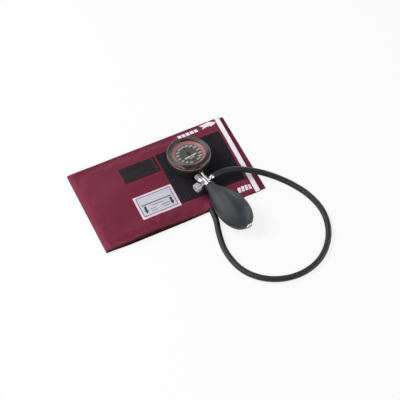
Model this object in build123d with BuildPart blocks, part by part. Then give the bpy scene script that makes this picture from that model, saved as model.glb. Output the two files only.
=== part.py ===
from build123d import *
import os
from math import cos, pi, radians, sin, tan

os.makedirs("parts", exist_ok=True)

# A palm blood pressure set at rest: a cuff folded once, a dial gauge on a chrome valve, a squeeze bulb
# and a hose that runs from the valve back to the cuff. Sizes are in millimetres.
# The origin is the middle of the folded cuff's underside. X runs along the cuff, from its fold to its
# free end, Y runs across it, away from the bulb, and Z is up.

# Cuff
cuff_length = 251.5
cuff_width = 145.0
fabric = 1.0
lining = 1.0
hook_thickness = 1.4
lower_flap_reach_near = 9.0
lower_flap_reach_far = 5.8
lower_flap_skew = 2.3
bladder_length = 219.0
bladder_width = 120.0
bladder_thickness = 4.0
bladder_end_margin = 12.5
bladder_wall = 1.0
bladder_slope = 3.0
bladder_room = 0.2
hook_length = 92.0
hook_width = 104.0
hook_end_margin = 14.0
loop_length = 105.0
loop_width = 94.0
loop_thickness = 1.2
loop_end_margin = 12.2
patch_length = 57.6
patch_width = 26.6
patch_thickness = 0.8
patch_x = -24.2
patch_y = 32.7
label_length = 62.2
label_width = 41.5
label_thickness = 0.5
label_loop_gap = 1.35
label_y = -29.0
stripe_width = 7.2
stripe_thickness = 0.3
stripe_end_margin = 0.8

# Hose and the port where it enters the cuff
hose_radius = 4.5
hose_bore = 2.4
hose_tuck = 6.5
port_x = 44.6
port_tube_radius = 1.7
port_tube_bore = 1.0
port_neck_radius = 3.0
port_flange_radius = 4.3
port_flange = 1.0
port_barb_length = 11.0
tunnel_wall = 1.0
push_fit = 0.05
skin_gap = 0.1

# Bulb
bulb_heading = 16.5
bulb_dip = 5.0
neck_x = 53.4
neck_y = -44.1
floor_gap = 0.3
belly_radius = 23.4
belly_station = 51.0
bulb_length = 89.5
tail_reach = 40.0
neck_radius = 7.7
neck_length = 5.0
bulb_shoulders = ((10.3, 12), (14.6, 20), (18.8, 30), (21.7, 40))
cavity_shoulders = ((12.0, 21), (16.6, 31), (19.5, 41))
bulb_wall = 2.2
tail_wall = 6.0
spigot_length = 12.0
spigot_radius = 4.4
spigot_bore = 1.6

# Valve
valve_radius = 5.5
valve_length = 12.5
cross_station = 7.0
thread_radius = 4.0
thread_length = 1.5
chamber_radius = 3.4
passage_radius = 1.8
vent_radius = 0.7
vent_offset = 2.0
disc_radius = 2.9
disc_thickness = 0.8
disc_lift = 0.8
disc_gap = 0.1
cage_thickness = 0.8
filter_offset = 4.0
filter_radius = 4.7
filter_start = 9.0
filter_chamber = 11.0
filter_end = 14.5
filter_cap_end = 22.5
filter_bore = 3.3
flute_count = 14
flute_radius = 0.55
air_hole_radius = 0.6
air_hole_circle = 1.9

# Release valve
boss_radius = 4.6
boss_end = 9.0
needle_bore = 2.6
needle_clearance = 0.1
seat_station = 5.0
seat_radius = 0.9
cone_length = 1.2
needle_shoulder = 6.6
needle_end = 11.2
needle_stub_radius = 1.6
needle_stub_end = 16.0
oring_station = 7.2
oring_width = 1.2
oring_groove = 0.9
gland_radius = 5.6
gland_end = 11.2
knob_start = 11.6
knob_end = 21.4
knob_radius = 7.2
knob_lobes = 8
lobe_groove = 1.5
knob_bevel = 1.0

# Hose nipple
ball_station = 11.2
ball_radius = 4.3
nipple_spigot_radius = 2.6
nipple_spigot_start = 3.4
nipple_bore = 1.2
hose_seat = 14.4
seat_disc_radius = 4.0
nipple_end = 21.4

# Gauge: heights are along its own axis, from the lens's underside
gauge_x = 46.4
gauge_y = 10.4
gauge_tilt = 10.0
gauge_heading = 64.85
dial_turn = 37.0
rest_gap = 0.1
case_radius = 30.6
case_base_radius = 24.5
case_depth = 27.5
case_corner = 2.0
case_wall = 1.5
case_shoulder = -8.0
case_top = -1.2
bumper_radius = 33.1
bumper_low = -1.8
bumper_high = 2.4
bumper_flare = 0.8
bumper_crown = 1.4
accent_radius = 32.2
accent_height = 0.9
opening_radius = 25.4
ring_crest = 2.1
ring_dish_radius = 28.6
ring_dish = 1.3
ring_skirt_radius = 27.4
dial_cell_radius = 24.4
dial_lip = 1.4
red_ring_foot = 20.6
red_ring_mouth = 25.1
lens_radius = 26.0
lens_thickness = 1.2
gasket_thickness = 0.3
cell_gap = 0.05
dial_depth = 1.8
dial_thickness = 0.6
pointer_length = 15.5
pointer_tail = 5.5
pointer_hub_radius = 1.8
pointer_thickness = 0.35
pointer_clearance = 0.5

# Gauge movement: its heights are from the case's floor, which it stands on
case_floor = -case_depth + case_wall
staff_radius = 0.6
pivot_clearance = 0.05
bridge_low = case_floor + 17.6
bridge_thickness = 1.0
bridge_radius = 20.0
base_low = case_floor + 11.4
base_thickness = 1.0
base_radius = 21.5
slot_length = 4.6
slot_width = 2.4
pillar_radius = 1.6
pillar_circle = 17.0
pillar_angles = (65, 150, 292)
post_circle = 19.0
post_angles = (40, 150, 292)
gear_module = 0.4
pinion_teeth = 10
sector_full_teeth = 84
sector_teeth = 13
tooth_share = 0.34
tooth_tip_share = 0.45
gear_level = 14.4
gear_low = case_floor + gear_level
gear_thickness = 1.2
sector_staff_radius = 0.8
sector_hub_radius = 2.4
sector_pivot_angle = 26.5
sector_rim = 3.2
pointer_sweep = 337.5
sector_spoke = 3.0
tail_pin_circle = 1.38
tail_pin_radius = 0.35
tail_pin_level = 12.8
tail_pin_low = case_floor + tail_pin_level
collet_radius = 1.5
spring_inner = 1.6
spring_pitch = 0.85
spring_turns = 4
spring_points = 24
spring_band = 0.2
spring_level = 16.1
spring_low = case_floor + spring_level
spring_height = 0.4
spring_stud = 0.6
capsule_radius = 15.0
capsule_level = 2.4
capsule_depth = 4.8
capsule_low = case_floor + capsule_level
capsule_high = capsule_low + capsule_depth
capsule_skin = 0.4
capsule_waves = 3
capsule_wave = 0.7
capsule_post_radius = 2.5
capsule_post_bore = 0.8
push_pin_radius = 0.6
push_pin_foot_radius = 1.6
push_pin_foot = 0.5
lever_gap = 0.1
rocker_y = 5.0
rocker_level = 9.5
rocker_height = case_floor + rocker_level
rocker_radius = 0.7
rocker_left = -6.5
rocker_end = 1.0
rocker_arm_width = 1.6
rocker_arm = 0.6
rocker_arm_end = -0.6
rocker_paddle_x = 18.5
rocker_paddle_level = 13.8
rocker_paddle_top = case_floor + rocker_paddle_level
ear_width = 1.5
ear_side = 1.6
ear_places = (-4.5, 12.0)

# Gauge stem
socket_circle = 29.0
socket_height = -13.5
socket_radius = 4.2
socket_length = 6.0
stem_radius = 2.2
stem_bore = 1.0
stem_station = 9.0
stem_offset = 3.0
stem_seat = 2.0
stem_bore_depth = 2.5
stem_tuck = 4.0
stem_collar_radius = 3.3
stem_collar_end = 5.2
line_radius = 0.9
line_bore = 0.5
line_height = case_floor + 1.2
line_socket = 1.0
line_bend = 2.0
line_tuck = 2.0
line_drop_circle = 23.1

# Layer heights in the folded cuff, from its underside
lower_top = fabric + lining
hook_top = lower_top + hook_thickness
upper_lining_top = hook_top + lining
flap_top = upper_lining_top + fabric
bladder_top = upper_lining_top + bladder_thickness
cuff_top = bladder_top + fabric
cuff_end = cuff_length / 2
near_edge = -cuff_width / 2
fold_x = -cuff_end + flap_top / 2
fold_z = flap_top / 2
bladder_x = cuff_end - bladder_end_margin - bladder_length / 2
label_x = cuff_end - loop_end_margin - loop_length - label_loop_gap - label_length / 2
bladder_near = -bladder_width / 2
port_z = lower_top + skin_gap + hose_radius
tunnel_radius = hose_radius + skin_gap


def section(frame):
    """The plane through a frame's axis: its X is the radius and its Y runs along the axis."""
    return Plane(origin=frame.origin, x_dir=frame.x_dir, z_dir=-frame.y_dir)


def spun(frame, angle):
    """The same frame turned about its own axis."""
    return Plane(
        origin=frame.origin,
        x_dir=frame.x_dir.rotate(Axis((0, 0, 0), frame.z_dir), angle),
        z_dir=frame.z_dir,
    )


def outline(*points, mode=Mode.ADD):
    """A face inside straight lines from point to point."""
    Polygon(*points, align=None, mode=mode)


def turn(frame, mode=Mode.ADD):
    """Spin the sketched section round the frame's axis."""
    revolve(axis=Axis(frame.origin, frame.z_dir), mode=mode)


def rectangle_between(x_low, x_high, y_low, y_high):
    """A rectangle given by its two sides and two ends."""
    with Locations(((x_low + x_high) / 2, (y_low + y_high) / 2)):
        Rectangle(x_high - x_low, y_high - y_low)


def lower_flap_outline(inset):
    """The lower flap lies a little askew, so its free end shows past the upper one."""
    outline(
        (fold_x, near_edge),
        (cuff_end + lower_flap_reach_near - inset, near_edge + lower_flap_skew + inset),
        (cuff_end + lower_flap_reach_far - inset, -near_edge - inset),
        (fold_x, -near_edge),
    )


def fold_section(outer, inner):
    """Half a ring where one layer turns back at the fold."""
    with Locations((fold_x, fold_z)):
        Circle(outer)
        Circle(inner, mode=Mode.SUBTRACT)
    with Locations((fold_x + outer / 2, fold_z)):
        Rectangle(outer, 2 * outer, mode=Mode.SUBTRACT)


# Cuff
port_frame = Plane(origin=(port_x, bladder_near, port_z), x_dir=(1, 0, 0), z_dir=(0, -1, 0))
tunnel_length = bladder_near - near_edge

with BuildPart() as cuff_outer_fabric:
    with BuildSketch(Plane.XY.offset(upper_lining_top)):
        rectangle_between(fold_x, cuff_end, near_edge, -near_edge)
    extrude(amount=fabric)
    with BuildSketch(Plane.XY):
        lower_flap_outline(0)
    extrude(amount=fabric)
    with BuildSketch(Plane.XZ):
        fold_section(fold_z, fold_z - fabric)
    extrude(amount=cuff_width / 2, both=True)
    with BuildSketch(Plane.XY.offset(flap_top)):
        with Locations((bladder_x, 0)):
            Rectangle(bladder_length + 2 * (bladder_slope + fabric),
                      bladder_width + 2 * (bladder_slope + fabric))
    with BuildSketch(Plane.XY.offset(cuff_top)):
        with Locations((bladder_x, 0)):
            Rectangle(bladder_length + 2 * fabric, bladder_width + 2 * fabric)
    loft()
    with BuildSketch(port_frame.offset(tunnel_length)):
        Circle(tunnel_radius + tunnel_wall)
        with Locations((0, -tunnel_radius - tunnel_wall - port_z + upper_lining_top)):
            Rectangle(4 * tunnel_radius, 2 * (tunnel_radius + tunnel_wall), mode=Mode.SUBTRACT)
    extrude(amount=-tunnel_length)
    with BuildSketch(Plane.XY.offset(upper_lining_top)):
        with Locations((bladder_x, 0)):
            Rectangle(bladder_length + 2 * bladder_slope, bladder_width + 2 * bladder_slope)
    with BuildSketch(Plane.XY.offset(bladder_top)):
        with Locations((bladder_x, 0)):
            Rectangle(bladder_length + 2 * bladder_room, bladder_width + 2 * bladder_room)
    loft(mode=Mode.SUBTRACT)
    with BuildSketch(port_frame.offset(tunnel_length)):
        Circle(tunnel_radius)
    extrude(amount=-tunnel_length, mode=Mode.SUBTRACT)
cuff_outer_fabric.part.label = "cuff_outer_fabric"
export_step(cuff_outer_fabric.part, "parts/cuff_outer_fabric.step")

with BuildPart() as cuff_lining:
    with BuildSketch(Plane.XY.offset(hook_top)):
        rectangle_between(fold_x, cuff_end, near_edge, -near_edge)
    extrude(amount=lining)
    with BuildSketch(Plane.XY.offset(fabric)):
        lower_flap_outline(fabric)
    extrude(amount=lining)
    with BuildSketch(Plane.XZ):
        fold_section(fold_z - fabric, fold_z - lower_top)
    extrude(amount=cuff_width / 2, both=True)
    with BuildSketch(port_frame.offset(tunnel_length)):
        Circle(tunnel_radius)
    extrude(amount=-tunnel_length, mode=Mode.SUBTRACT)
cuff_lining.part.label = "cuff_lining"
export_step(cuff_lining.part, "parts/cuff_lining.step")

with BuildPart() as hook_panel:
    with BuildSketch(Plane.XY.offset(lower_top)):
        rectangle_between(cuff_end - hook_end_margin - hook_length, cuff_end - hook_end_margin,
                          -hook_width / 2, hook_width / 2)
    extrude(amount=hook_thickness)
hook_panel.part.label = "hook_panel"
export_step(hook_panel.part, "parts/hook_panel.step")

with BuildPart() as bladder:
    with BuildSketch(Plane.XY.offset(upper_lining_top)):
        with Locations((bladder_x, 0)):
            RectangleRounded(bladder_length, bladder_width, bladder_slope)
    extrude(amount=bladder_thickness)
    with BuildSketch(Plane.XY.offset(upper_lining_top + bladder_wall)):
        with Locations((bladder_x, 0)):
            Rectangle(bladder_length - 4 * bladder_wall, bladder_width - 4 * bladder_wall)
    extrude(amount=bladder_thickness - 2 * bladder_wall, mode=Mode.SUBTRACT)
    with BuildSketch(port_frame):
        Circle(port_tube_radius)
    extrude(amount=-2.5 * bladder_wall, mode=Mode.SUBTRACT)
bladder.part.label = "bladder"
export_step(bladder.part, "parts/bladder.step")

port_reach = tunnel_length - hose_tuck
with BuildPart() as bladder_port:
    with BuildSketch(section(port_frame)):
        outline(
            (port_tube_bore, -2 * bladder_wall),
            (port_tube_radius, -2 * bladder_wall),
            (port_tube_radius, 0),
            (port_neck_radius, 0),
            (port_neck_radius, port_reach - port_flange),
            (port_flange_radius, port_reach - port_flange),
            (port_flange_radius, port_reach),
            (hose_bore - push_fit, port_reach),
            (hose_bore - push_fit, port_reach + port_barb_length),
            (port_tube_bore, port_reach + port_barb_length),
        )
    turn(port_frame)
bladder_port.part.label = "bladder_port"
export_step(bladder_port.part, "parts/bladder_port.step")

with BuildPart() as loop_field:
    with BuildSketch(Plane.XY.offset(cuff_top)):
        rectangle_between(cuff_end - loop_end_margin - loop_length, cuff_end - loop_end_margin,
                          -loop_width / 2, loop_width / 2)
    extrude(amount=loop_thickness)
loop_field.part.label = "loop_field"
export_step(loop_field.part, "parts/loop_field.step")

with BuildPart() as hanger_patch:
    with BuildSketch(Plane.XY.offset(cuff_top)):
        with Locations((patch_x, patch_y)):
            Rectangle(patch_length, patch_width)
    extrude(amount=patch_thickness)
hanger_patch.part.label = "hanger_patch"
export_step(hanger_patch.part, "parts/hanger_patch.step")

with BuildPart() as label:
    with BuildSketch(Plane.XY.offset(cuff_top)):
        with Locations((label_x, label_y)):
            Rectangle(label_length, label_width)
    extrude(amount=label_thickness)
label.part.label = "label"
export_step(label.part, "parts/label.step")

with BuildPart() as index_stripe:
    with BuildSketch(Plane.XY.offset(flap_top)):
        rectangle_between(cuff_end - stripe_end_margin - stripe_width, cuff_end - stripe_end_margin,
                          near_edge, -near_edge)
    extrude(amount=stripe_thickness)
index_stripe.part.label = "index_stripe"
export_step(index_stripe.part, "parts/index_stripe.step")

# Bulb: stations run from the neck's mouth to the tail
across = Vector(cos(radians(bulb_heading)), sin(radians(bulb_heading)), 0)
bulb_direction = Vector(
    sin(radians(bulb_heading)) * cos(radians(bulb_dip)),
    -cos(radians(bulb_heading)) * cos(radians(bulb_dip)),
    -sin(radians(bulb_dip)),
)
valve_direction = -bulb_direction
upward = across.cross(valve_direction)
neck_z = belly_radius + floor_gap + belly_station * sin(radians(bulb_dip))
neck = Vector(neck_x, neck_y, neck_z)
bulb_frame = Plane(origin=neck, x_dir=upward, z_dir=bulb_direction)
valve_frame = Plane(origin=neck, x_dir=upward, z_dir=valve_direction)
tail_radius = belly_radius * (1 - ((bulb_length - belly_station) / tail_reach) ** 2) ** 0.5
inlet_radius = spigot_radius + disc_gap
cavity_end = bulb_length - tail_wall
cavity_reach = tail_reach - bulb_wall
cavity_radius = belly_radius - bulb_wall
cavity_tail_radius = cavity_radius * (1 - ((cavity_end - belly_station) / cavity_reach) ** 2) ** 0.5

with BuildPart() as bulb:
    with BuildSketch(section(bulb_frame)):
        with BuildLine():
            Polyline((0, 0), (neck_radius, 0), (neck_radius, neck_length))
            Spline((neck_radius, neck_length), *bulb_shoulders, (belly_radius, belly_station),
                   tangents=((0.25, 1), (0, 1)))
            Spline((belly_radius, belly_station),
                   (belly_radius * 0.75 ** 0.5, belly_station + tail_reach / 2),
                   (tail_radius, bulb_length),
                   tangents=((0, 1),
                             (-belly_radius ** 2 * (bulb_length - belly_station),
                              tail_radius * tail_reach ** 2)))
            Polyline((tail_radius, bulb_length), (0, bulb_length), (0, 0))
        make_face()
    turn(bulb_frame)
    with BuildSketch(section(bulb_frame)):
        with BuildLine():
            Line((0, spigot_length), (spigot_radius, spigot_length))
            Spline((spigot_radius, spigot_length), *cavity_shoulders, (cavity_radius, belly_station),
                   tangents=((1, 1), (0, 1)))
            Spline((cavity_radius, belly_station),
                   (cavity_radius * 0.75 ** 0.5, belly_station + cavity_reach / 2),
                   (cavity_tail_radius, cavity_end),
                   tangents=((0, 1),
                             (-cavity_radius ** 2 * (cavity_end - belly_station),
                              cavity_tail_radius * cavity_reach ** 2)))
            Polyline((cavity_tail_radius, cavity_end), (0, cavity_end), (0, spigot_length))
        make_face()
    turn(bulb_frame, Mode.SUBTRACT)
    with BuildSketch(bulb_frame):
        Circle(spigot_radius)
    extrude(amount=spigot_length, mode=Mode.SUBTRACT)
    with BuildSketch(bulb_frame.offset(cavity_end)):
        Circle(inlet_radius)
    extrude(amount=tail_wall, mode=Mode.SUBTRACT)
bulb.part.label = "bulb"
export_step(bulb.part, "parts/bulb.step")

# Inlet valve in the bulb's tail
disc_room = disc_thickness + disc_lift + 2 * disc_gap
inlet_end = bulb_length + 1.2
inlet_start = cavity_end - 0.6
inlet_seat = bulb_length - 1.4
inlet_chamber = disc_radius + 0.4
inlet_flange_radius = inlet_radius + 1.0
screen_depth = 0.8
screen_radius = 2.4
with BuildPart() as inlet_valve_body:
    with BuildSketch(section(bulb_frame)):
        outline(
            (inlet_chamber, inlet_start),
            (inlet_radius, inlet_start),
            (inlet_radius, bulb_length),
            (inlet_flange_radius, bulb_length),
            (inlet_flange_radius, inlet_end - 0.4),
            (inlet_flange_radius - 0.4, inlet_end),
            (screen_radius, inlet_end),
            (screen_radius, inlet_end - screen_depth),
            (spigot_bore, inlet_end - screen_depth),
            (spigot_bore, inlet_seat),
            (inlet_chamber, inlet_seat),
        )
    turn(bulb_frame)
inlet_valve_body.part.label = "inlet_valve_body"
export_step(inlet_valve_body.part, "parts/inlet_valve_body.step")

with BuildPart() as air_screen:
    with BuildSketch(bulb_frame.offset(inlet_end - screen_depth)):
        Circle(screen_radius)
        with PolarLocations(screen_radius * 0.6, 6):
            Circle(0.35, mode=Mode.SUBTRACT)
        Circle(0.35, mode=Mode.SUBTRACT)
    extrude(amount=screen_depth / 2)
air_screen.part.label = "air_screen"
export_step(air_screen.part, "parts/air_screen.step")

with BuildPart() as inlet_disc:
    with BuildSketch(bulb_frame.offset(inlet_seat - disc_gap - disc_thickness)):
        Circle(disc_radius)
    extrude(amount=disc_thickness)
inlet_disc.part.label = "inlet_disc"
export_step(inlet_disc.part, "parts/inlet_disc.step")

with BuildPart() as inlet_cage:
    with BuildSketch(bulb_frame.offset(inlet_seat - disc_room - cage_thickness)):
        Circle(inlet_chamber)
        with PolarLocations(inlet_chamber * 0.6, 4):
            Circle(air_hole_radius, mode=Mode.SUBTRACT)
    extrude(amount=cage_thickness)
inlet_cage.part.label = "inlet_cage"
export_step(inlet_cage.part, "parts/inlet_cage.step")

# Valve body: stations run from the bulb's mouth towards the gauge
chamber_depth = thread_length + disc_room + cage_thickness
cross_origin = neck + valve_direction * cross_station
nipple_frame = Plane(origin=cross_origin, x_dir=upward, z_dir=across)
knob_frame = Plane(origin=cross_origin, x_dir=upward, z_dir=-across)
filter_frame = Plane(origin=neck - across * filter_offset, x_dir=upward, z_dir=valve_direction)

# Gauge frame: it leans back on the loop field, and twelve o'clock is its Y
gauge_axis = Vector(
    sin(radians(gauge_tilt)) * cos(radians(gauge_heading)),
    sin(radians(gauge_tilt)) * sin(radians(gauge_heading)),
    cos(radians(gauge_tilt)),
)
gauge_level = Vector(sin(radians(gauge_heading)), -cos(radians(gauge_heading)), 0)
gauge_z = (
    cuff_top + loop_thickness + rest_gap
    + case_depth * cos(radians(gauge_tilt))
    + (case_base_radius - case_corner) * sin(radians(gauge_tilt))
)
gauge_upright = Plane(origin=(gauge_x, gauge_y, gauge_z), x_dir=gauge_level, z_dir=gauge_axis)
gauge_frame = spun(gauge_upright, dial_turn)
gauge_section = section(gauge_frame)

# The stem runs from the valve up to a socket low on the case, at six o'clock
stem_foot = neck + valve_direction * stem_station + across * stem_offset
stem_socket = gauge_frame.from_local_coords(Vector(0, -socket_circle, socket_height))
stem_length = (stem_socket - stem_foot).length
stem_direction = (stem_socket - stem_foot).normalized()
stem_frame = Plane(origin=stem_foot, x_dir=stem_direction.cross(across).normalized(), z_dir=stem_direction)

with BuildPart() as valve_body:
    with BuildSketch(section(valve_frame)):
        outline((0, 0), (valve_radius + 0.5, 0), (valve_radius + 0.5, 1.2), (valve_radius, 1.6),
                (valve_radius, valve_length - 0.8), (valve_radius - 0.8, valve_length), (0, valve_length))
    turn(valve_frame)
    with BuildSketch(filter_frame.offset(filter_start)):
        Circle(filter_radius)
    extrude(amount=filter_end - filter_start)
    with BuildSketch(knob_frame):
        Circle(boss_radius)
    extrude(amount=boss_end)
    with BuildSketch(stem_frame):
        Circle(stem_collar_radius)
    extrude(amount=stem_collar_end)
    with BuildSketch(section(valve_frame)):
        outline((0, 0), (thread_radius, 0), (thread_radius, thread_length), (chamber_radius, thread_length),
                (chamber_radius, chamber_depth), (passage_radius, chamber_depth),
                (passage_radius, cross_station + nipple_bore), (0, cross_station + nipple_bore))
    turn(valve_frame, Mode.SUBTRACT)
    with BuildSketch(filter_frame.offset(filter_chamber)):
        Circle(filter_bore)
    extrude(amount=filter_end - filter_chamber, mode=Mode.SUBTRACT)
    with BuildSketch(filter_frame.offset(cross_station)):
        with Locations((0, -vent_offset)):
            Circle(vent_radius)
    extrude(amount=filter_chamber - cross_station, mode=Mode.SUBTRACT)
    with BuildSketch(section(knob_frame)):
        outline((0, 0), (seat_radius, 0), (seat_radius, seat_station), (needle_bore, seat_station),
                (needle_bore, boss_end), (0, boss_end))
    turn(knob_frame, Mode.SUBTRACT)
    with BuildSketch(nipple_frame):
        Circle(nipple_bore)
    extrude(amount=valve_radius, mode=Mode.SUBTRACT)
    with BuildSketch(nipple_frame.offset(nipple_spigot_start)):
        Circle(nipple_spigot_radius)
    extrude(amount=valve_radius, mode=Mode.SUBTRACT)
    with BuildSketch(stem_frame.offset(stem_seat)):
        Circle(stem_radius)
    extrude(amount=stem_collar_end, mode=Mode.SUBTRACT)
    with BuildSketch(stem_frame.offset(-stem_bore_depth)):
        Circle(stem_bore)
    extrude(amount=stem_bore_depth + stem_seat, mode=Mode.SUBTRACT)
valve_body.part.label = "valve_body"
export_step(valve_body.part, "parts/valve_body.step")

with BuildPart() as bulb_spigot:
    with BuildSketch(section(valve_frame)):
        outline((spigot_bore, -spigot_length), (spigot_radius - 0.4, -spigot_length),
                (spigot_radius, -spigot_length + 1.5), (spigot_radius, 0), (thread_radius, 0),
                (thread_radius, thread_length), (spigot_bore, thread_length))
    turn(valve_frame)
bulb_spigot.part.label = "bulb_spigot"
export_step(bulb_spigot.part, "parts/bulb_spigot.step")

with BuildPart() as check_disc:
    with BuildSketch(valve_frame.offset(thread_length + disc_gap)):
        Circle(disc_radius)
    extrude(amount=disc_thickness)
check_disc.part.label = "check_disc"
export_step(check_disc.part, "parts/check_disc.step")

with BuildPart() as check_cage:
    with BuildSketch(valve_frame.offset(chamber_depth - cage_thickness)):
        Circle(chamber_radius)
        with PolarLocations(air_hole_circle, 4):
            Circle(air_hole_radius, mode=Mode.SUBTRACT)
        Circle(air_hole_radius, mode=Mode.SUBTRACT)
    extrude(amount=cage_thickness)
check_cage.part.label = "check_cage"
export_step(check_cage.part, "parts/check_cage.step")

with BuildPart() as filter_cap:
    with BuildSketch(filter_frame.offset(filter_end)):
        Circle(filter_radius)
        with PolarLocations(filter_radius, flute_count):
            Circle(flute_radius, mode=Mode.SUBTRACT)
        with PolarLocations(air_hole_circle, 5):
            Circle(air_hole_radius, mode=Mode.SUBTRACT)
    extrude(amount=filter_cap_end - filter_end)
    with BuildSketch(filter_frame.offset(filter_end - 1.5)):
        Circle(filter_bore)
        Circle(filter_bore - 1.0, mode=Mode.SUBTRACT)
    extrude(amount=1.5)
filter_cap.part.label = "filter_cap"
export_step(filter_cap.part, "parts/filter_cap.step")

# Release valve: distances run outwards from the valve's centre line
needle_radius = needle_bore - needle_clearance
cone_radius = seat_radius - pivot_clearance
with BuildPart() as release_needle:
    with BuildSketch(section(knob_frame)):
        outline(
            (0, seat_station - cone_length / 2),
            (cone_radius - cone_length / 4, seat_station - cone_length / 2),
            (cone_radius, seat_station),
            (needle_radius - 0.6, needle_shoulder - 0.4),
            (needle_radius, needle_shoulder),
            (needle_radius, oring_station),
            (needle_radius - oring_groove, oring_station),
            (needle_radius - oring_groove, oring_station + oring_width),
            (needle_radius, oring_station + oring_width),
            (needle_radius, needle_end),
            (needle_stub_radius, needle_end),
            (needle_stub_radius, needle_stub_end),
            (0, needle_stub_end),
        )
    turn(knob_frame)
release_needle.part.label = "release_needle"
export_step(release_needle.part, "parts/release_needle.step")

with BuildPart() as needle_oring:
    with BuildSketch(section(knob_frame)):
        with Locations((needle_radius - oring_groove / 2, oring_station + oring_width / 2)):
            Circle(oring_groove / 2)
    turn(knob_frame)
needle_oring.part.label = "needle_oring"
export_step(needle_oring.part, "parts/needle_oring.step")

with BuildPart() as gland_nut:
    with BuildSketch(knob_frame.offset(boss_end)):
        RegularPolygon(gland_radius, 6)
        Circle(needle_bore, mode=Mode.SUBTRACT)
    extrude(amount=gland_end - boss_end)
gland_nut.part.label = "gland_nut"
export_step(gland_nut.part, "parts/gland_nut.step")

knob_bore = needle_stub_radius + needle_clearance
with BuildPart() as release_knob:
    with BuildSketch(section(knob_frame)):
        outline(
            (knob_bore, knob_start),
            (knob_radius - knob_bevel, knob_start),
            (knob_radius, knob_start + knob_bevel),
            (knob_radius, knob_end - knob_bevel),
            (knob_radius - knob_bevel, knob_end),
            (0, knob_end),
            (0, needle_stub_end + needle_clearance),
            (knob_bore, needle_stub_end + needle_clearance),
        )
    turn(knob_frame)
    with BuildSketch(knob_frame.offset(knob_start)):
        with PolarLocations(knob_radius + lobe_groove / 3, knob_lobes):
            Circle(lobe_groove)
    extrude(amount=knob_end - knob_start, mode=Mode.SUBTRACT)
release_knob.part.label = "release_knob"
export_step(release_knob.part, "parts/release_knob.step")

ball_low = ball_station - (ball_radius ** 2 - nipple_spigot_radius ** 2) ** 0.5
ball_high = ball_station + (ball_radius ** 2 - seat_disc_radius ** 2) ** 0.5
with BuildPart() as hose_nipple:
    with BuildSketch(section(nipple_frame)):
        with BuildLine():
            Polyline((nipple_bore, nipple_spigot_start), (nipple_spigot_radius, nipple_spigot_start),
                     (nipple_spigot_radius, ball_low))
            ThreePointArc((nipple_spigot_radius, ball_low), (ball_radius, ball_station),
                          (seat_disc_radius, ball_high))
            Polyline(
                (seat_disc_radius, ball_high),
                (seat_disc_radius, hose_seat),
                (hose_bore - push_fit, hose_seat),
                (hose_bore - push_fit, nipple_end),
                (nipple_bore, nipple_end),
                (nipple_bore, nipple_spigot_start),
            )
        make_face()
    turn(nipple_frame)
hose_nipple.part.label = "hose_nipple"
export_step(hose_nipple.part, "parts/hose_nipple.step")

with BuildPart() as gauge_stem:
    with BuildSketch(stem_frame.offset(stem_seat)):
        Circle(stem_radius)
        Circle(stem_bore, mode=Mode.SUBTRACT)
    extrude(amount=stem_length - stem_seat + stem_tuck)
gauge_stem.part.label = "gauge_stem"
export_step(gauge_stem.part, "parts/gauge_stem.step")

# Gauge case and front
with BuildPart() as gauge_case:
    with BuildSketch(gauge_section):
        outline(
            (0, -case_depth),
            (case_base_radius - case_corner, -case_depth),
            (case_base_radius, -case_depth + case_corner),
            (case_radius, case_shoulder),
            (case_radius, case_top),
            (0, case_top),
        )
    turn(gauge_frame)
    with BuildSketch(stem_frame.offset(stem_length - socket_length / 2)):
        Circle(socket_radius)
    extrude(amount=socket_length)
    with BuildSketch(gauge_section):
        outline(
            (0, -case_depth + case_wall),
            (case_base_radius - case_corner - case_wall, -case_depth + case_wall),
            (case_base_radius - case_wall, -case_depth + case_corner + case_wall),
            (case_radius - case_wall, case_shoulder),
            (case_radius - case_wall, case_top),
            (0, case_top),
        )
    turn(gauge_frame, Mode.SUBTRACT)
    with BuildSketch(stem_frame.offset(stem_length - socket_length)):
        Circle(stem_radius)
    extrude(amount=socket_length + stem_tuck, mode=Mode.SUBTRACT)
gauge_case.part.label = "gauge_case"
export_step(gauge_case.part, "parts/gauge_case.step")

rim_inner = bumper_high - 0.6
with BuildPart() as bumper:
    with BuildSketch(gauge_section):
        with BuildLine():
            Polyline((case_radius, bumper_low), (bumper_radius - bumper_flare, bumper_low),
                     (bumper_radius, bumper_high - bumper_crown))
            ThreePointArc((bumper_radius, bumper_high - bumper_crown),
                          (bumper_radius - 0.3 * bumper_crown, bumper_high - 0.3 * bumper_crown),
                          (bumper_radius - bumper_crown, bumper_high))
            Polyline((bumper_radius - bumper_crown, bumper_high), (case_radius, rim_inner),
                     (case_radius, bumper_low))
        make_face()
    turn(gauge_frame)
bumper.part.label = "bumper"
export_step(bumper.part, "parts/bumper.step")

with BuildPart() as accent_ring:
    with BuildSketch(gauge_section):
        rectangle_between(case_radius, accent_radius, bumper_low - accent_height, bumper_low)
    turn(gauge_frame)
accent_ring.part.label = "accent_ring"
export_step(accent_ring.part, "parts/accent_ring.step")

dial_low = -dial_depth - dial_thickness
with BuildPart() as top_ring:
    with BuildSketch(gauge_section):
        outline(
            (dial_cell_radius - dial_lip, dial_low - 0.6),
            (ring_skirt_radius, dial_low - 0.6),
            (ring_skirt_radius, case_top),
            (case_radius, case_top),
            (case_radius, rim_inner),
            (ring_dish_radius, ring_dish),
            (opening_radius + 0.7, ring_crest),
            (opening_radius, ring_crest - 0.4),
            (opening_radius, lens_thickness + gasket_thickness),
            (lens_radius, lens_thickness + gasket_thickness),
            (lens_radius, 0),
            (dial_cell_radius, -dial_depth),
            (dial_cell_radius, dial_low),
            (dial_cell_radius - dial_lip, dial_low),
        )
    turn(gauge_frame)
top_ring.part.label = "top_ring"
export_step(top_ring.part, "parts/top_ring.step")

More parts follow.
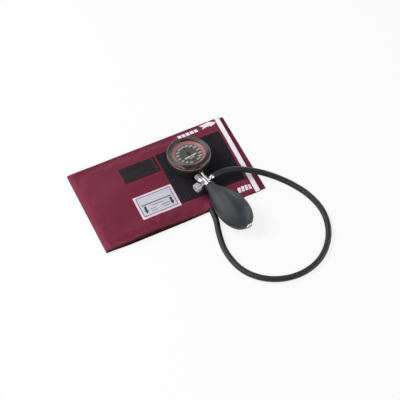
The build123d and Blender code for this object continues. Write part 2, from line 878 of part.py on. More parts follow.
with BuildPart() as red_ring:
    with BuildSketch(gauge_section):
        outline(
            (red_ring_foot, -dial_depth),
            (dial_cell_radius - cell_gap, -dial_depth),
            (lens_radius - cell_gap, 0),
            (red_ring_mouth, 0),
        )
    turn(gauge_frame)
red_ring.part.label = "red_ring"
export_step(red_ring.part, "parts/red_ring.step")

with BuildPart() as lens:
    with BuildSketch(gauge_frame):
        Circle(lens_radius - cell_gap)
    extrude(amount=lens_thickness)
lens.part.label = "lens"
export_step(lens.part, "parts/lens.step")

with BuildPart() as lens_gasket:
    with BuildSketch(gauge_frame.offset(lens_thickness)):
        Circle(lens_radius - cell_gap)
        Circle(opening_radius, mode=Mode.SUBTRACT)
    extrude(amount=gasket_thickness)
lens_gasket.part.label = "lens_gasket"
export_step(lens_gasket.part, "parts/lens_gasket.step")

with BuildPart() as dial:
    with BuildSketch(gauge_frame.offset(dial_low)):
        Circle(dial_cell_radius - cell_gap)
        Circle(2 * staff_radius, mode=Mode.SUBTRACT)
    extrude(amount=dial_thickness)
dial.part.label = "dial"
export_step(dial.part, "parts/dial.step")

# Pointer: at rest it stands at zero, straight down at six o'clock
pointer_low = -dial_depth + pointer_clearance
with BuildPart() as pointer:
    with BuildSketch(gauge_frame.offset(pointer_low)):
        Circle(pointer_hub_radius)
        outline((-0.8, pointer_tail), (0.8, pointer_tail), (0.5, 0), (0.15, -pointer_length),
                (-0.15, -pointer_length), (-0.5, 0))
    extrude(amount=pointer_thickness)
    with BuildSketch(gauge_frame.offset(pointer_low)):
        Circle(pointer_hub_radius * 0.7)
    extrude(amount=3 * pointer_thickness)
    with BuildSketch(gauge_frame.offset(pointer_low)):
        Circle(staff_radius)
    extrude(amount=2 * pointer_thickness, mode=Mode.SUBTRACT)
pointer.part.label = "pointer"
export_step(pointer.part, "parts/pointer.step")

# Movement: a sector gear, pushed by the capsule through a rocking shaft, drives the pinion
pinion_pitch = gear_module * pinion_teeth / 2
sector_pitch = gear_module * sector_full_teeth / 2
sector_pivot = Vector(pinion_pitch + sector_pitch, 0).rotate(Axis.Z, sector_pivot_angle)
mesh_angle = sector_pivot_angle + 180
sector_swing = pointer_sweep * pinion_teeth / sector_full_teeth
addendum = gear_module
dedendum = 1.25 * gear_module
tooth_width = pi * gear_module * tooth_share


def gear_teeth(pitch, count, first, step):
    """Tapered teeth on a pitch circle, from the angle `first` on, `step` degrees apart."""
    for tooth in range(count):
        with Locations(Location((0, 0), first + tooth * step)):
            Polygon(
                (pitch - dedendum - 0.1, -0.6 * tooth_width),
                (pitch - dedendum - 0.1, 0.6 * tooth_width),
                (pitch + addendum * 0.8, tooth_width * tooth_tip_share),
                (pitch + addendum * 0.8, -tooth_width * tooth_tip_share),
                align=None,
            )


with BuildPart() as pointer_staff:
    with BuildSketch(gauge_frame.offset(gear_low - 0.3)):
        Circle(pinion_pitch - dedendum)
        gear_teeth(pinion_pitch, pinion_teeth, mesh_angle - 180, 360 / pinion_teeth)
    extrude(amount=gear_thickness + 0.6)
    with BuildSketch(gauge_frame.offset(spring_low)):
        Circle(collet_radius)
    extrude(amount=spring_height)
    with BuildSketch(gauge_frame.offset(base_low + lever_gap)):
        Circle(staff_radius)
    extrude(amount=pointer_low + 2 * pointer_thickness - base_low - lever_gap)
pointer_staff.part.label = "pointer_staff"
export_step(pointer_staff.part, "parts/pointer_staff.step")

sector_step = 360 / sector_full_teeth
sector_middle = mesh_angle - sector_swing / 2
sector_half = sector_swing / 2 + 1.5 * sector_step
first_tooth = sector_swing / 2 + sector_step * (0.5 - round((sector_half + sector_swing / 2) / sector_step))
sector_root = sector_pitch - dedendum
sector_frame = spun(
    Plane(origin=gauge_frame.from_local_coords(sector_pivot), x_dir=gauge_frame.x_dir,
          z_dir=gauge_frame.z_dir),
    sector_middle,
)
tail_angle = -sector_swing / 2 - sector_middle
bridge_top = bridge_low + bridge_thickness
base_top = base_low + base_thickness
with BuildPart() as sector_gear:
    with BuildSketch(sector_frame.offset(gear_low)):
        Circle(sector_root)
        Circle(sector_root - sector_rim, mode=Mode.SUBTRACT)
        outline((0, 0), (sector_pitch, -sector_pitch * tan(radians(sector_half))),
                (sector_pitch, sector_pitch * tan(radians(sector_half))), mode=Mode.INTERSECT)
        rectangle_between(0, sector_root - sector_rim / 2, -sector_spoke / 2, sector_spoke / 2)
        Circle(sector_hub_radius)
        gear_teeth(sector_pitch, sector_teeth, first_tooth, sector_step)
    extrude(amount=gear_thickness)
    with BuildSketch(sector_frame.offset(base_low + lever_gap)):
        Circle(sector_staff_radius)
    extrude(amount=bridge_top - base_low - 2 * lever_gap)
    with BuildSketch(sector_frame.offset(tail_pin_low)):
        with PolarLocations(tail_pin_circle, 1, start_angle=tail_angle):
            Circle(tail_pin_radius)
    extrude(amount=gear_low - tail_pin_low)
sector_gear.part.label = "sector_gear"
export_step(sector_gear.part, "parts/sector_gear.step")

stud_radius = spring_inner + spring_pitch * spring_turns + spring_band + spring_stud
spiral = [
    (spring_inner + spring_pitch * step / spring_points, radians(360 * step / spring_points))
    for step in range(spring_turns * spring_points + 1)
]
with BuildPart() as hairspring:
    with BuildSketch(gauge_frame.offset(spring_low)):
        outline(*[(radius * cos(angle), radius * sin(angle)) for radius, angle in spiral],
                *[((radius + spring_band) * cos(angle), (radius + spring_band) * sin(angle))
                  for radius, angle in reversed(spiral)])
    extrude(amount=spring_height)
hairspring.part.label = "hairspring"
export_step(hairspring.part, "parts/hairspring.step")

with BuildPart() as bridge:
    with BuildSketch(gauge_frame.offset(bridge_low)):
        Circle(bridge_radius)
        Circle(staff_radius + pivot_clearance, mode=Mode.SUBTRACT)
        with Locations(sector_pivot):
            Circle(sector_staff_radius + pivot_clearance, mode=Mode.SUBTRACT)
    extrude(amount=bridge_thickness)
    with BuildSketch(gauge_frame.offset(spring_low)):
        with Locations((stud_radius, 0)):
            Circle(spring_stud)
    extrude(amount=bridge_low - spring_low)
bridge.part.label = "movement_bridge"
export_step(bridge.part, "parts/movement_bridge.step")

rocker_plane = Plane(
    origin=gauge_frame.from_local_coords(Vector(0, rocker_y, rocker_height)),
    x_dir=gauge_frame.y_dir,
    z_dir=gauge_frame.x_dir,
)
ear_drop = base_low - rocker_height
with BuildPart() as base_plate:
    with BuildSketch(gauge_frame.offset(base_low)):
        Circle(base_radius)
        Circle(staff_radius + pivot_clearance, mode=Mode.SUBTRACT)
        with Locations(sector_pivot):
            Circle(sector_staff_radius + pivot_clearance, mode=Mode.SUBTRACT)
        with Locations((rocker_paddle_x, rocker_y + slot_length / 4)):
            Rectangle(slot_width, slot_length, mode=Mode.SUBTRACT)
    extrude(amount=base_thickness)
    for place in ear_places:
        with BuildSketch(rocker_plane.offset(place)):
            rectangle_between(-ear_side, ear_side, -ear_side, ear_drop)
            Circle(rocker_radius + pivot_clearance, mode=Mode.SUBTRACT)
        extrude(amount=ear_width)
base_plate.part.label = "movement_base"
export_step(base_plate.part, "parts/movement_base.step")

with BuildPart() as pillars:
    with BuildSketch(gauge_frame.offset(base_top)):
        for angle in pillar_angles:
            with PolarLocations(pillar_circle, 1, start_angle=angle):
                Circle(pillar_radius)
    extrude(amount=bridge_low - base_top)
pillars.part.label = "movement_pillars"
export_step(pillars.part, "parts/movement_pillars.step")

with BuildPart() as posts:
    with BuildSketch(gauge_frame.offset(case_floor)):
        for angle in post_angles:
            with PolarLocations(post_circle, 1, start_angle=angle):
                Circle(pillar_radius)
    extrude(amount=base_low - case_floor)
posts.part.label = "movement_posts"
export_step(posts.part, "parts/movement_posts.step")

# Rocking shaft: one arm lies over the push pin, the other leans against the sector's tail pin
tail_pin_swing = tail_pin_circle * sin(radians(sector_swing / 2))
paddle_face = sector_pivot.Y - tail_pin_swing - tail_pin_radius - lever_gap
paddle_reach = paddle_face - rocker_y
paddle_rise = rocker_paddle_top - rocker_height
with BuildPart() as rocking_shaft:
    with BuildSketch(rocker_plane.offset(rocker_left)):
        Circle(rocker_radius)
    extrude(amount=rocker_paddle_x + rocker_end - rocker_left)
    with BuildSketch(rocker_plane.offset(-rocker_arm_width / 2)):
        rectangle_between(rocker_arm_end - rocker_y, 0, -rocker_arm / 2, rocker_arm / 2)
    extrude(amount=rocker_arm_width)
    with BuildSketch(rocker_plane.offset(rocker_paddle_x - rocker_arm_width / 2)):
        outline((-rocker_arm, 0), (rocker_arm, 0),
                (paddle_reach, paddle_rise - 1.0), (paddle_reach, paddle_rise),
                (paddle_reach - rocker_arm, paddle_rise), (paddle_reach - rocker_arm, paddle_rise - 1.0))
    extrude(amount=rocker_arm_width)
rocking_shaft.part.label = "rocking_shaft"
export_step(rocking_shaft.part, "parts/rocking_shaft.step")

with BuildPart() as push_pin:
    with BuildSketch(gauge_frame.offset(capsule_high + lever_gap)):
        Circle(push_pin_foot_radius)
    extrude(amount=push_pin_foot)
    with BuildSketch(gauge_frame.offset(capsule_high + lever_gap)):
        Circle(push_pin_radius)
    extrude(amount=rocker_height - rocker_arm / 2 - capsule_high - 2 * lever_gap)
push_pin.part.label = "push_pin"
export_step(push_pin.part, "parts/push_pin.step")

# Capsule: two corrugated skins joined at the rim, on a bored post that the pressure line feeds
capsule_middle = (capsule_low + capsule_high) / 2
line_frame = Plane(
    origin=gauge_frame.from_local_coords(Vector(0, -capsule_post_radius, line_height)),
    x_dir=gauge_frame.x_dir,
    z_dir=-gauge_frame.y_dir,
)


def capsule_profile(skin):
    """Half of the capsule's section, drawn in by the thickness of its skin."""
    top = capsule_high - skin
    steps = range(2 * capsule_waves + 1)
    waves = [(capsule_post_radius + 1.8 * step, top - capsule_wave * (step % 2)) for step in steps]
    rim = (capsule_radius - 1.5 * skin, capsule_middle + capsule_skin)
    upper = [(0, top)] + waves + [rim]
    lower = [(radius, 2 * capsule_middle - height) for radius, height in reversed(upper)]
    return upper + lower


with BuildPart() as capsule:
    with BuildSketch(gauge_section):
        outline(*capsule_profile(0))
    turn(gauge_frame)
    with BuildSketch(gauge_frame.offset(case_floor)):
        Circle(capsule_post_radius)
    extrude(amount=capsule_low - case_floor + capsule_skin)
    with BuildSketch(gauge_section):
        outline(*capsule_profile(capsule_skin))
    turn(gauge_frame, Mode.SUBTRACT)
    with BuildSketch(gauge_frame.offset(line_height)):
        Circle(capsule_post_bore)
    extrude(amount=capsule_middle - line_height, mode=Mode.SUBTRACT)
    with BuildSketch(line_frame):
        Circle(line_radius + pivot_clearance)
    extrude(amount=-line_socket, mode=Mode.SUBTRACT)
    with BuildSketch(line_frame):
        Circle(line_bore)
    extrude(amount=-capsule_post_radius, mode=Mode.SUBTRACT)
capsule.part.label = "capsule"
export_step(capsule.part, "parts/capsule.step")

stem_end = stem_foot + stem_direction * (stem_length + stem_tuck)
stem_end_circle = -gauge_frame.to_local_coords(stem_end).Y
line_rise = (stem_end_circle - line_drop_circle) / stem_direction.dot(gauge_frame.y_dir)
with BuildPart() as pressure_line:
    with BuildLine():
        FilletPolyline(
            stem_end - stem_direction * line_tuck,
            stem_end + stem_direction * line_rise,
            gauge_frame.from_local_coords(Vector(0, -line_drop_circle, base_low - 2 * line_bend)),
            gauge_frame.from_local_coords(Vector(0, line_bend - line_drop_circle, line_height)),
            line_frame.origin + gauge_frame.y_dir * line_socket,
            radius=line_bend,
        )
    with BuildSketch(Plane(origin=stem_end - stem_direction * line_tuck, x_dir=stem_frame.x_dir,
                           z_dir=stem_direction)):
        Circle(line_radius)
        Circle(line_bore, mode=Mode.SUBTRACT)
    sweep()
pressure_line.part.label = "pressure_line"
export_step(pressure_line.part, "parts/pressure_line.step")

# Hose: it leaves the nipple, drops to the table and comes back round the bulb to the cuff
hose_start = cross_origin + across * hose_seat
hose_route = [
    hose_start,
    hose_start + across * 13.5,
    Vector(91.8, -29.1, 28.1),
    Vector(106.8, -32.6, 26.3),
    Vector(134.8, -47.5, 17.2),
    Vector(154.5, -66, 11.9),
    Vector(172.5, -83, 5.5),
    Vector(188, -110, 4.5),
    Vector(195, -148, 4.5),
    Vector(182.5, -188.5, 4.5),
    Vector(151.5, -219.5, 4.5),
    Vector(110, -229, 4.5),
    Vector(69.3, -217.3, 4.5),
    Vector(40.5, -188.3, 4.5),
    Vector(31.2, -148, 4.5),
    Vector(37, -112, 4.8),
    Vector(port_x, -89, port_z),
    Vector(port_x, bladder_near - port_reach, port_z),
]


def bend_radius(before, corner, after):
    """The radius whose bend takes 0.45 of the shorter run beside a corner."""
    run = min((corner - before).length, (after - corner).length)
    return 0.45 * run / tan(radians((corner - before).get_angle(after - corner)) / 2)


hose_radii = [bend_radius(*corner) for corner in zip(hose_route, hose_route[1:], hose_route[2:])]
print("Hose bend radii:", [round(radius, 1) for radius in hose_radii])
with BuildPart() as hose:
    with BuildLine() as hose_line:
        FilletPolyline(*hose_route, radius=hose_radii)
    with BuildSketch(Plane(origin=hose_start, x_dir=upward, z_dir=across)):
        Circle(hose_radius)
        Circle(hose_bore, mode=Mode.SUBTRACT)
    sweep()
hose.part.label = "hose"
export_step(hose.part, "parts/hose.step")
hose_length = sum(edge.length for edge in hose_line.edges())
hose_section = pi * (hose_radius ** 2 - hose_bore ** 2)
print("Hose length", round(hose_length, 1))
print("Hose volume", round(hose.part.volume), "expected", round(hose_length * hose_section))
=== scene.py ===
from math import cos, pi, radians, sin

import bmesh
import bpy
import numpy as np
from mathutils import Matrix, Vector


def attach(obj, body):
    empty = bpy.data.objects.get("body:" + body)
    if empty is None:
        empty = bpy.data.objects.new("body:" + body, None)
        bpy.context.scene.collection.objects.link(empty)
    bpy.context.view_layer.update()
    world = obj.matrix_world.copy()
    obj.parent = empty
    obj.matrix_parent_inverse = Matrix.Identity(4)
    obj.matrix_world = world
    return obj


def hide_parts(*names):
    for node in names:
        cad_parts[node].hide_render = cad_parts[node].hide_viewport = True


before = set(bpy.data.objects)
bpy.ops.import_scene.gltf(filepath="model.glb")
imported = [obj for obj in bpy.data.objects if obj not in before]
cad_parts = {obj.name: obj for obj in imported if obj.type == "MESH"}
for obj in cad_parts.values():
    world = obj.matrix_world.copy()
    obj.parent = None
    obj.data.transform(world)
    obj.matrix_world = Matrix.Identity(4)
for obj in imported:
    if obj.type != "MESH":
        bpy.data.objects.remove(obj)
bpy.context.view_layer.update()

# A palm blood pressure set at rest. Sizes below are in millimetres, as in the part's source, and every
# mesh is scaled to metres when it is made.
MM = 0.001

# Camera: the photograph's place and aim, in metres
camera_place = (-0.7624, -1.7514, 2.9787)
camera_aim = (0.0379, -0.0468, 0.0)
camera_lens = 213.6

camera = bpy.data.objects.new("camera", bpy.data.cameras.new("camera"))
camera.data.lens = camera_lens
camera.data.clip_end = 50
camera.location = camera_place
camera.rotation_euler = (Vector(camera_aim) - Vector(camera_place)).to_track_quat("-Z", "Y").to_euler()
bpy.context.collection.objects.link(camera)
bpy.context.scene.camera = camera

# Hose: from the valve's ball nipple, round in one loose loop, and back into the cuff's near edge
hose_radius = 4.5
hose_route = (
    (65.23, -33.32, 28.76), (79.0, -31.2, 28.2), (92.5, -32.4, 26.6), (105.5, -35.2, 24.3),
    (119.5, -41.0, 20.8), (136.0, -49.4, 15.9), (154.5, -63.4, 10.8), (172.5, -82.4, 5.6), (188.0, -110.0, 4.5),
    (195.0, -148.0, 4.5), (182.5, -188.5, 4.5), (151.5, -219.5, 4.5), (110.0, -229.0, 4.5),
    (69.3, -217.3, 4.5), (40.5, -188.3, 4.5), (31.2, -148.0, 4.5), (37.0, -112.0, 4.8),
    (44.6, -89.0, 6.6), (44.6, -66.0, 6.6),
)

hose_curve = bpy.data.curves.new("hose_tube", "CURVE")
hose_curve.dimensions = "3D"
hose_line = hose_curve.splines.new("NURBS")
hose_line.points.add(len(hose_route) - 1)
hose_line.points.foreach_set("co", np.c_[np.array(hose_route) * MM, np.ones(len(hose_route))].ravel())
hose_line.points.foreach_set("radius", np.full(len(hose_route), hose_radius * MM))
hose_line.order_u = 3
hose_line.use_endpoint_u = True
hose_line.resolution_u = 16
hose_curve.bevel_depth = 1.0
hose_curve.bevel_resolution = 8
hose_curve.use_fill_caps = True
hose = bpy.data.objects.new("hose_tube", hose_curve)
bpy.context.collection.objects.link(hose)
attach(hose, "instrument")
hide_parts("hose")


# Materials

def colour(red, green, blue):
    """A colour as it looks on screen, 0 to 255, turned to the linear values that Blender's sockets hold."""
    seen = np.array([red, green, blue]) / 255
    linear = np.where(seen <= 0.04045, seen / 12.92, ((seen + 0.055) / 1.055) ** 2.4)
    return (*linear.tolist(), 1.0)


class Value:
    """One output socket in a material. Python's operators on it add Math nodes."""

    def __init__(self, finish, socket):
        self.finish = finish
        self.socket = socket

    def maths(self, operation, *values):
        return self.finish.node("Math", {"operation": operation}, *values)

    def __add__(self, other):
        return self.maths("ADD", self, other)

    def __sub__(self, other):
        return self.maths("SUBTRACT", self, other)

    def __rsub__(self, other):
        return self.maths("SUBTRACT", other, self)

    def __mul__(self, other):
        return self.maths("MULTIPLY", self, other)

    def __abs__(self):
        return self.maths("ABSOLUTE", self)

    __radd__ = __add__
    __rmul__ = __mul__

    def wave(self, pitch):
        """A sine of this value that repeats every pitch, from -1 to 1."""
        return self.maths("SINE", self * (2 * pi / pitch))

    def most(self, other):
        return self.maths("MAXIMUM", self, other)

    def rise(self, low, high):
        """0 below low, 1 above high and a smooth step between."""
        return self.finish.node("MapRange", {"interpolation_type": "SMOOTHSTEP"}, self, low, high)


class Nodes:
    """A node tree, whose nodes are added by expressions on the values that its methods return."""

    def __init__(self, tree):
        self.nodes = tree.nodes
        self.links = tree.links
        self.nodes.clear()

    def node(self, kind, settings, *values, output=0, **named):
        """A node of one kind: its settings first, then the values or links of its sockets."""
        made = self.nodes.new("ShaderNode" + kind)
        for key, setting in settings.items():
            setattr(made, key, setting)
        for key, value in [*enumerate(values), *named.items()]:
            key = key.replace("_", " ") if isinstance(key, str) else key
            if isinstance(value, Value):
                self.links.new(value.socket, made.inputs[key])
            else:
                made.inputs[key].default_value = value
        return Value(self, made.outputs[output])

    def end(self, shader, kind="OutputMaterial"):
        self.links.new(shader.socket, self.nodes.new("ShaderNode" + kind).inputs["Surface"])


class Finish(Nodes):
    """One material, with the surface's place in millimetres."""

    def __init__(self, name):
        self.material = bpy.data.materials.new(name)
        self.material.use_nodes = True
        super().__init__(self.material.node_tree)
        place = self.node("TexCoord", {}, output="Object")
        self.place = self.node("VectorMath", {"operation": "SCALE"}, place, Scale=1 / MM)
        split = self.node("SeparateXYZ", {}, self.place)
        self.x, self.y = [Value(self, split.socket.node.outputs[axis]) for axis in "XY"]

    def noise(self, size, detail=2.0, rough=0.5, stretch=(1, 1, 1)):
        """Smooth noise from 0 to 1, whose spots are about size millimetres across, drawn out by stretch."""
        drawn = self.node("VectorMath", {"operation": "DIVIDE"}, self.place, tuple(size * s for s in stretch))
        return self.node("TexNoise", {}, drawn, Scale=1.0, Detail=detail, Roughness=rough)

    def mix(self, factor, first, second):
        """From the first colour at factor 0 to the second at 1."""
        made = self.node("Mix", {"data_type": "RGBA"}, factor, output=2)
        for slot, shade in ((6, first), (7, second)):
            if isinstance(shade, Value):
                self.links.new(shade.socket, made.socket.node.inputs[slot])
            else:
                made.socket.node.inputs[slot].default_value = shade
        return made

    def bump(self, height, depth, strength=1.0):
        """A normal from a height of 0 to 1 that stands for depth millimetres."""
        return self.node("Bump", {}, Strength=strength, Distance=depth * MM, Height=height)

    def surface(self, base, roughness, **sockets):
        """Ends the material with its shader. What is given as a number is set on the shader's own socket."""
        self.end(self.node("BsdfPrincipled", {}, Base_Color=base, Roughness=roughness, **sockets))
        return self.material


def nylon(name, shade, rubbed, folded, edge, sheen):
    """Coated nylon: a fine plain weave, slow changes of tone, rubbed streaks, a painted highlight along the
    fold on the left, and darker cut edges, partly their own dark and partly painted shade."""
    cloth = Finish(name)
    weave = cloth.x.wave(0.9) * cloth.y.wave(0.9)
    tone = cloth.noise(55, detail=3, stretch=(1.6, 1, 1))
    rub = cloth.noise(7, detail=4, rough=0.65, stretch=(3, 1, 1))
    base = cloth.mix(tone.rise(0.3, 0.72), shade, rubbed)
    base = cloth.mix(rub.rise(0.55, 0.8) * 0.18, base, rubbed)
    leftward = 0 - cloth.x
    # The fold's lighter colour is a painted highlight where the rounded fold catches light.
    base = cloth.mix(leftward.rise(112, 123) * 0.75, base, folded)
    # Darker cut edges and fold end: partly the edges' own dark colour, partly painted shade on the walls
    # between the layers.
    base = cloth.mix(abs(cloth.y).rise(71.3, 72.5).most(leftward.rise(124.6, 125.7)) * 0.8, base, edge)
    crumple = cloth.noise(18, detail=3, stretch=(1.5, 1, 1)) * 0.8 + weave * 0.035
    normal = cloth.bump(crumple, 0.9, 0.7)
    return cloth.surface(base, rub * 0.14 + 0.36, Normal=normal, Sheen_Weight=sheen, Sheen_Roughness=0.4,
                         Sheen_Tint=colour(255, 205, 220), Specular_IOR_Level=0.19,
                         Specular_Tint=colour(244, 176, 196))


def pile(name, shade, light_shade, rib_end):
    """Loop tape: a short dark pile, in fine ribs on one end and plain on the other."""
    tape = Finish(name)
    fuzz = tape.noise(0.9, detail=3, rough=0.7)
    tone = tape.noise(16, detail=2)
    ribs = (1 - tape.x.rise(rib_end - 6, rib_end + 6)) * (tape.x.wave(4.6) * 0.5 + 0.5)
    base = tape.mix(fuzz.rise(0.35, 0.75) * 0.4 + tone.rise(0.4, 0.7) * 0.25 + ribs * 0.5, shade, light_shade)
    return tape.surface(base, 0.85, Normal=tape.bump(fuzz * 0.5 + ribs * 0.8, 0.6, 0.8), Sheen_Weight=0.04,
                        Sheen_Roughness=0.6, Specular_IOR_Level=0.12)


def woven(name, shade, light_shade, pitch, roughness=0.75):
    """Plain woven tape or cloth: threads over and under at a small pitch."""
    tape = Finish(name)
    threads = tape.x.wave(pitch) * tape.y.wave(pitch)
    dust = tape.noise(6, detail=4, rough=0.6)
    base = tape.mix(threads * 0.22 + dust.rise(0.35, 0.75) * 0.5, shade, light_shade)
    return tape.surface(base, roughness, Normal=tape.bump(threads * 0.5 + dust * 0.3, 0.3, 0.6),
                        Specular_IOR_Level=0.15)


def ink(name, shade, worn_shade):
    """Ink or paint printed on cloth: nearly flat, thin where it is rubbed."""
    print_ = Finish(name)
    rub = print_.noise(3.0, detail=5, rough=0.7)
    base = print_.mix(rub.rise(0.55, 0.9) * 0.35, shade, worn_shade)
    return print_.surface(base, 0.6, Normal=print_.bump(print_.noise(0.8), 0.08))


def rubber(name, shade, light_shade, roughness):
    """Moulded rubber: a fine grain and a dusty bloom."""
    skin = Finish(name)
    grain = skin.noise(0.7, detail=3)
    bloom = skin.noise(14, detail=4, rough=0.6)
    base = skin.mix(bloom.rise(0.35, 0.7) * 0.55, shade, light_shade)
    return skin.surface(base, bloom * 0.16 + roughness, Normal=skin.bump(grain * 0.4, 0.12, 0.8))


def metal(name, shade, roughness, streak=0.05, metallic=1.0):
    """Plated or machined metal with fine scratches and slight smears."""
    plate = Finish(name)
    scratch = plate.noise(0.5, detail=2, stretch=(8, 1, 1))
    smear = plate.noise(5, detail=3)
    tone = plate.mix(smear.rise(0.3, 0.8) * 0.35, shade, tuple(0.82 * s for s in shade[:3]) + (1.0,))
    return plate.surface(tone, smear * streak * 2 + scratch * streak + roughness, Metallic=metallic,
                         Normal=plate.bump(scratch, 0.01, 0.5))


def plastic(name, shade, light_shade, roughness, coat=0.0):
    """Moulded or painted plastic: faint grain, and dull scuffs on top of the shine."""
    shell = Finish(name)
    grain = shell.noise(0.35, detail=2)
    scuff = shell.noise(9, detail=5, rough=0.7)
    base = shell.mix(scuff.rise(0.45, 0.8) * 0.5, shade, light_shade)
    return shell.surface(base, scuff * 0.12 + roughness, Normal=shell.bump(grain, 0.03, 0.6),
                         Coat_Weight=coat, Coat_Roughness=0.08)


def glass(name):
    """The dial's window: clear, with a weak mirror on its face and a slight smear."""
    pane = Finish(name)
    smear = pane.noise(12, detail=3)
    mirror = pane.node("BsdfGlossy", {}, Color=(1, 1, 1, 1), Roughness=smear * 0.05 + 0.02)
    clear = pane.node("BsdfTransparent", {}, Color=(0.97, 0.98, 0.97, 1))
    front = 1 - pane.node("NewGeometry", {}, output="Backfacing")
    share = pane.node("Fresnel", {}, IOR=1.45) * front * 0.6
    pane.end(pane.node("MixShader", {}, share, clear, mirror))
    return pane.material


# The fourth colour darkens the cut edges, partly painted shade; the lining's, nearly black, is painted shade in
# the gap between the layers.
# The third colour of each nylon is a painted highlight along the fold; the lining's equals its shade, so it
# gets none.
maroon_nylon = nylon("maroon_nylon", colour(109, 38, 58), colour(118, 49, 70), colour(136, 60, 82),
                     colour(46, 14, 24), 0.06)
lining_nylon = nylon("lining_nylon", colour(92, 34, 52), colour(102, 44, 62), colour(92, 34, 52),
                     colour(12, 5, 8), 0.03)
loop_pile = pile("loop_pile", colour(22, 21, 25), colour(46, 43, 50), 42)
hook_tape = woven("hook_tape", colour(24, 24, 26), colour(44, 43, 48), 1.6)
patch_tape = woven("patch_tape", colour(37, 35, 38), colour(54, 51, 55), 1.1)
patch_trim = woven("patch_trim", colour(58, 18, 30), colour(84, 34, 48), 0.8)
olive_thread = woven("olive_thread", colour(84, 66, 52), colour(108, 86, 70), 0.7)
label_satin = woven("label_satin", colour(236, 216, 227), colour(226, 207, 219), 0.6, 0.55)
label_field = woven("label_field", colour(206, 205, 217), colour(216, 215, 226), 0.6, 0.55)
label_ink = ink("label_ink", colour(46, 42, 56), colour(104, 100, 116))
white_ink = ink("white_ink", colour(250, 238, 246), colour(236, 214, 226))
bulb_rubber = rubber("bulb_rubber", colour(41, 42, 45), colour(54, 54, 57), 0.38)
hose_rubber = rubber("hose_rubber", colour(21, 21, 23), colour(34, 34, 35), 0.36)
bumper_rubber = plastic("bumper_rubber", colour(28, 21, 21), colour(36, 27, 27), 0.22, 0.8)
chrome = metal("chrome", colour(214, 212, 215), 0.08)
satin_metal = metal("satin_metal", colour(206, 202, 208), 0.3, 0.08, 0.5)
dark_chrome = metal("dark_chrome", colour(150, 148, 153), 0.12)
brass = metal("brass", colour(196, 164, 96), 0.25)
steel = metal("steel", colour(168, 168, 172), 0.22)
case_plastic = plastic("case_plastic", colour(34, 32, 33), colour(54, 51, 52), 0.35)
bezel_plastic = plastic("bezel_plastic", colour(26, 17, 18), colour(34, 24, 24), 0.22, 0.8)
red_plastic = plastic("red_plastic", colour(176, 110, 116), colour(186, 124, 128), 0.35, 0.3)
dial_white = plastic("dial_white", colour(236, 236, 228), colour(242, 242, 236), 0.5)
dial_grey = plastic("dial_grey", colour(150, 150, 146), colour(160, 160, 156), 0.5)
dial_pale = plastic("dial_pale", colour(214, 206, 206), colour(224, 216, 216), 0.5)
seam_thread = woven("seam_thread", colour(96, 34, 52), colour(128, 60, 78), 0.6)
dial_paint = plastic("dial_paint", colour(74, 74, 73), colour(83, 83, 82), 0.5)
pointer_paint = plastic("pointer_paint", colour(9, 8, 9), colour(18, 17, 18), 0.4)
seal_rubber = rubber("seal_rubber", colour(26, 26, 27), colour(38, 38, 39), 0.5)
window_glass = glass("window_glass")
hose_curve.materials.append(hose_rubber)

# Shapes

def mesh_piece(name, points, faces, finish, body="instrument", closed=True):
    """An object from points in millimetres and faces. Doubled points are merged, and a closed shape's faces are
    turned outwards."""
    mesh = bpy.data.meshes.new(name)
    mesh.from_pydata((np.asarray(points) * MM).tolist(), [], np.asarray(faces).tolist())
    shape = bmesh.new()
    shape.from_mesh(mesh)
    bmesh.ops.remove_doubles(shape, verts=shape.verts, dist=1e-7)
    if closed:
        bmesh.ops.recalc_face_normals(shape, faces=shape.faces)
    shape.to_mesh(mesh)
    shape.free()
    mesh.shade_smooth()
    mesh.set_sharp_from_angle(angle=radians(40))
    mesh.materials.append(finish)
    made = bpy.data.objects.new(name, mesh)
    bpy.context.collection.objects.link(made)
    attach(made, body)
    return made


def grid_faces(rows, columns, round_rows=False, round_columns=False, first=0):
    """Quads between neighbours of a grid of points, joined round where it closes on itself."""
    index = np.arange(rows * columns).reshape(rows, columns) + first
    if round_rows:
        index = np.concatenate([index, index[:1]])
    if round_columns:
        index = np.concatenate([index, index[:, :1]], axis=1)
    corners = (index[:-1, :-1], index[:-1, 1:], index[1:, 1:], index[1:, :-1])
    return np.stack(corners, axis=-1).reshape(-1, 4)


def grid_piece(name, points, finish, round_rows=False, round_columns=False, body="instrument"):
    """An object from one grid of points, of rows by columns by 3."""
    rows, columns = points.shape[:2]
    faces = grid_faces(rows, columns, round_rows, round_columns)
    closed = round_rows or round_columns
    return mesh_piece(name, points.reshape(-1, 3), faces, finish, body, closed)


def sheet_faces(rows, columns):
    """Faces of a closed sheet whose points are an upper grid and then a lower one: both grids and the wall
    round their rims."""
    count = rows * columns
    index = np.arange(count).reshape(rows, columns)
    rim = np.concatenate([index[:, 0], index[-1, 1:], index[-2::-1, -1], index[0, -2:0:-1]])
    after = np.roll(rim, -1)
    wall = np.stack([rim, after, after + count, rim + count], axis=-1)
    return np.concatenate([grid_faces(rows, columns), grid_faces(rows, columns, first=count)[:, ::-1], wall])


def sheet_piece(name, upper, lower, finish):
    """A closed sheet between an upper and a lower grid of points."""
    points = np.concatenate([upper.reshape(-1, 3), lower.reshape(-1, 3)])
    return mesh_piece(name, points, sheet_faces(*upper.shape[:2]), finish)


def slabs(outlines, low, high):
    """Points and faces of many plates at once: each outline of 4 corners goes from height low to high."""
    corners = np.asarray(outlines, float)
    flat = np.zeros(corners.shape[:2] + (1,))
    points = np.concatenate([np.concatenate([corners, flat + level], 2) for level in (low, high)], 1)
    box = np.array([(0, 3, 2, 1), (4, 5, 6, 7), (0, 1, 5, 4), (1, 2, 6, 5), (2, 3, 7, 6), (3, 0, 4, 7)])
    faces = box[None] + 8 * np.arange(len(corners))[:, None, None]
    return points.reshape(-1, 3), faces.reshape(-1, 4)


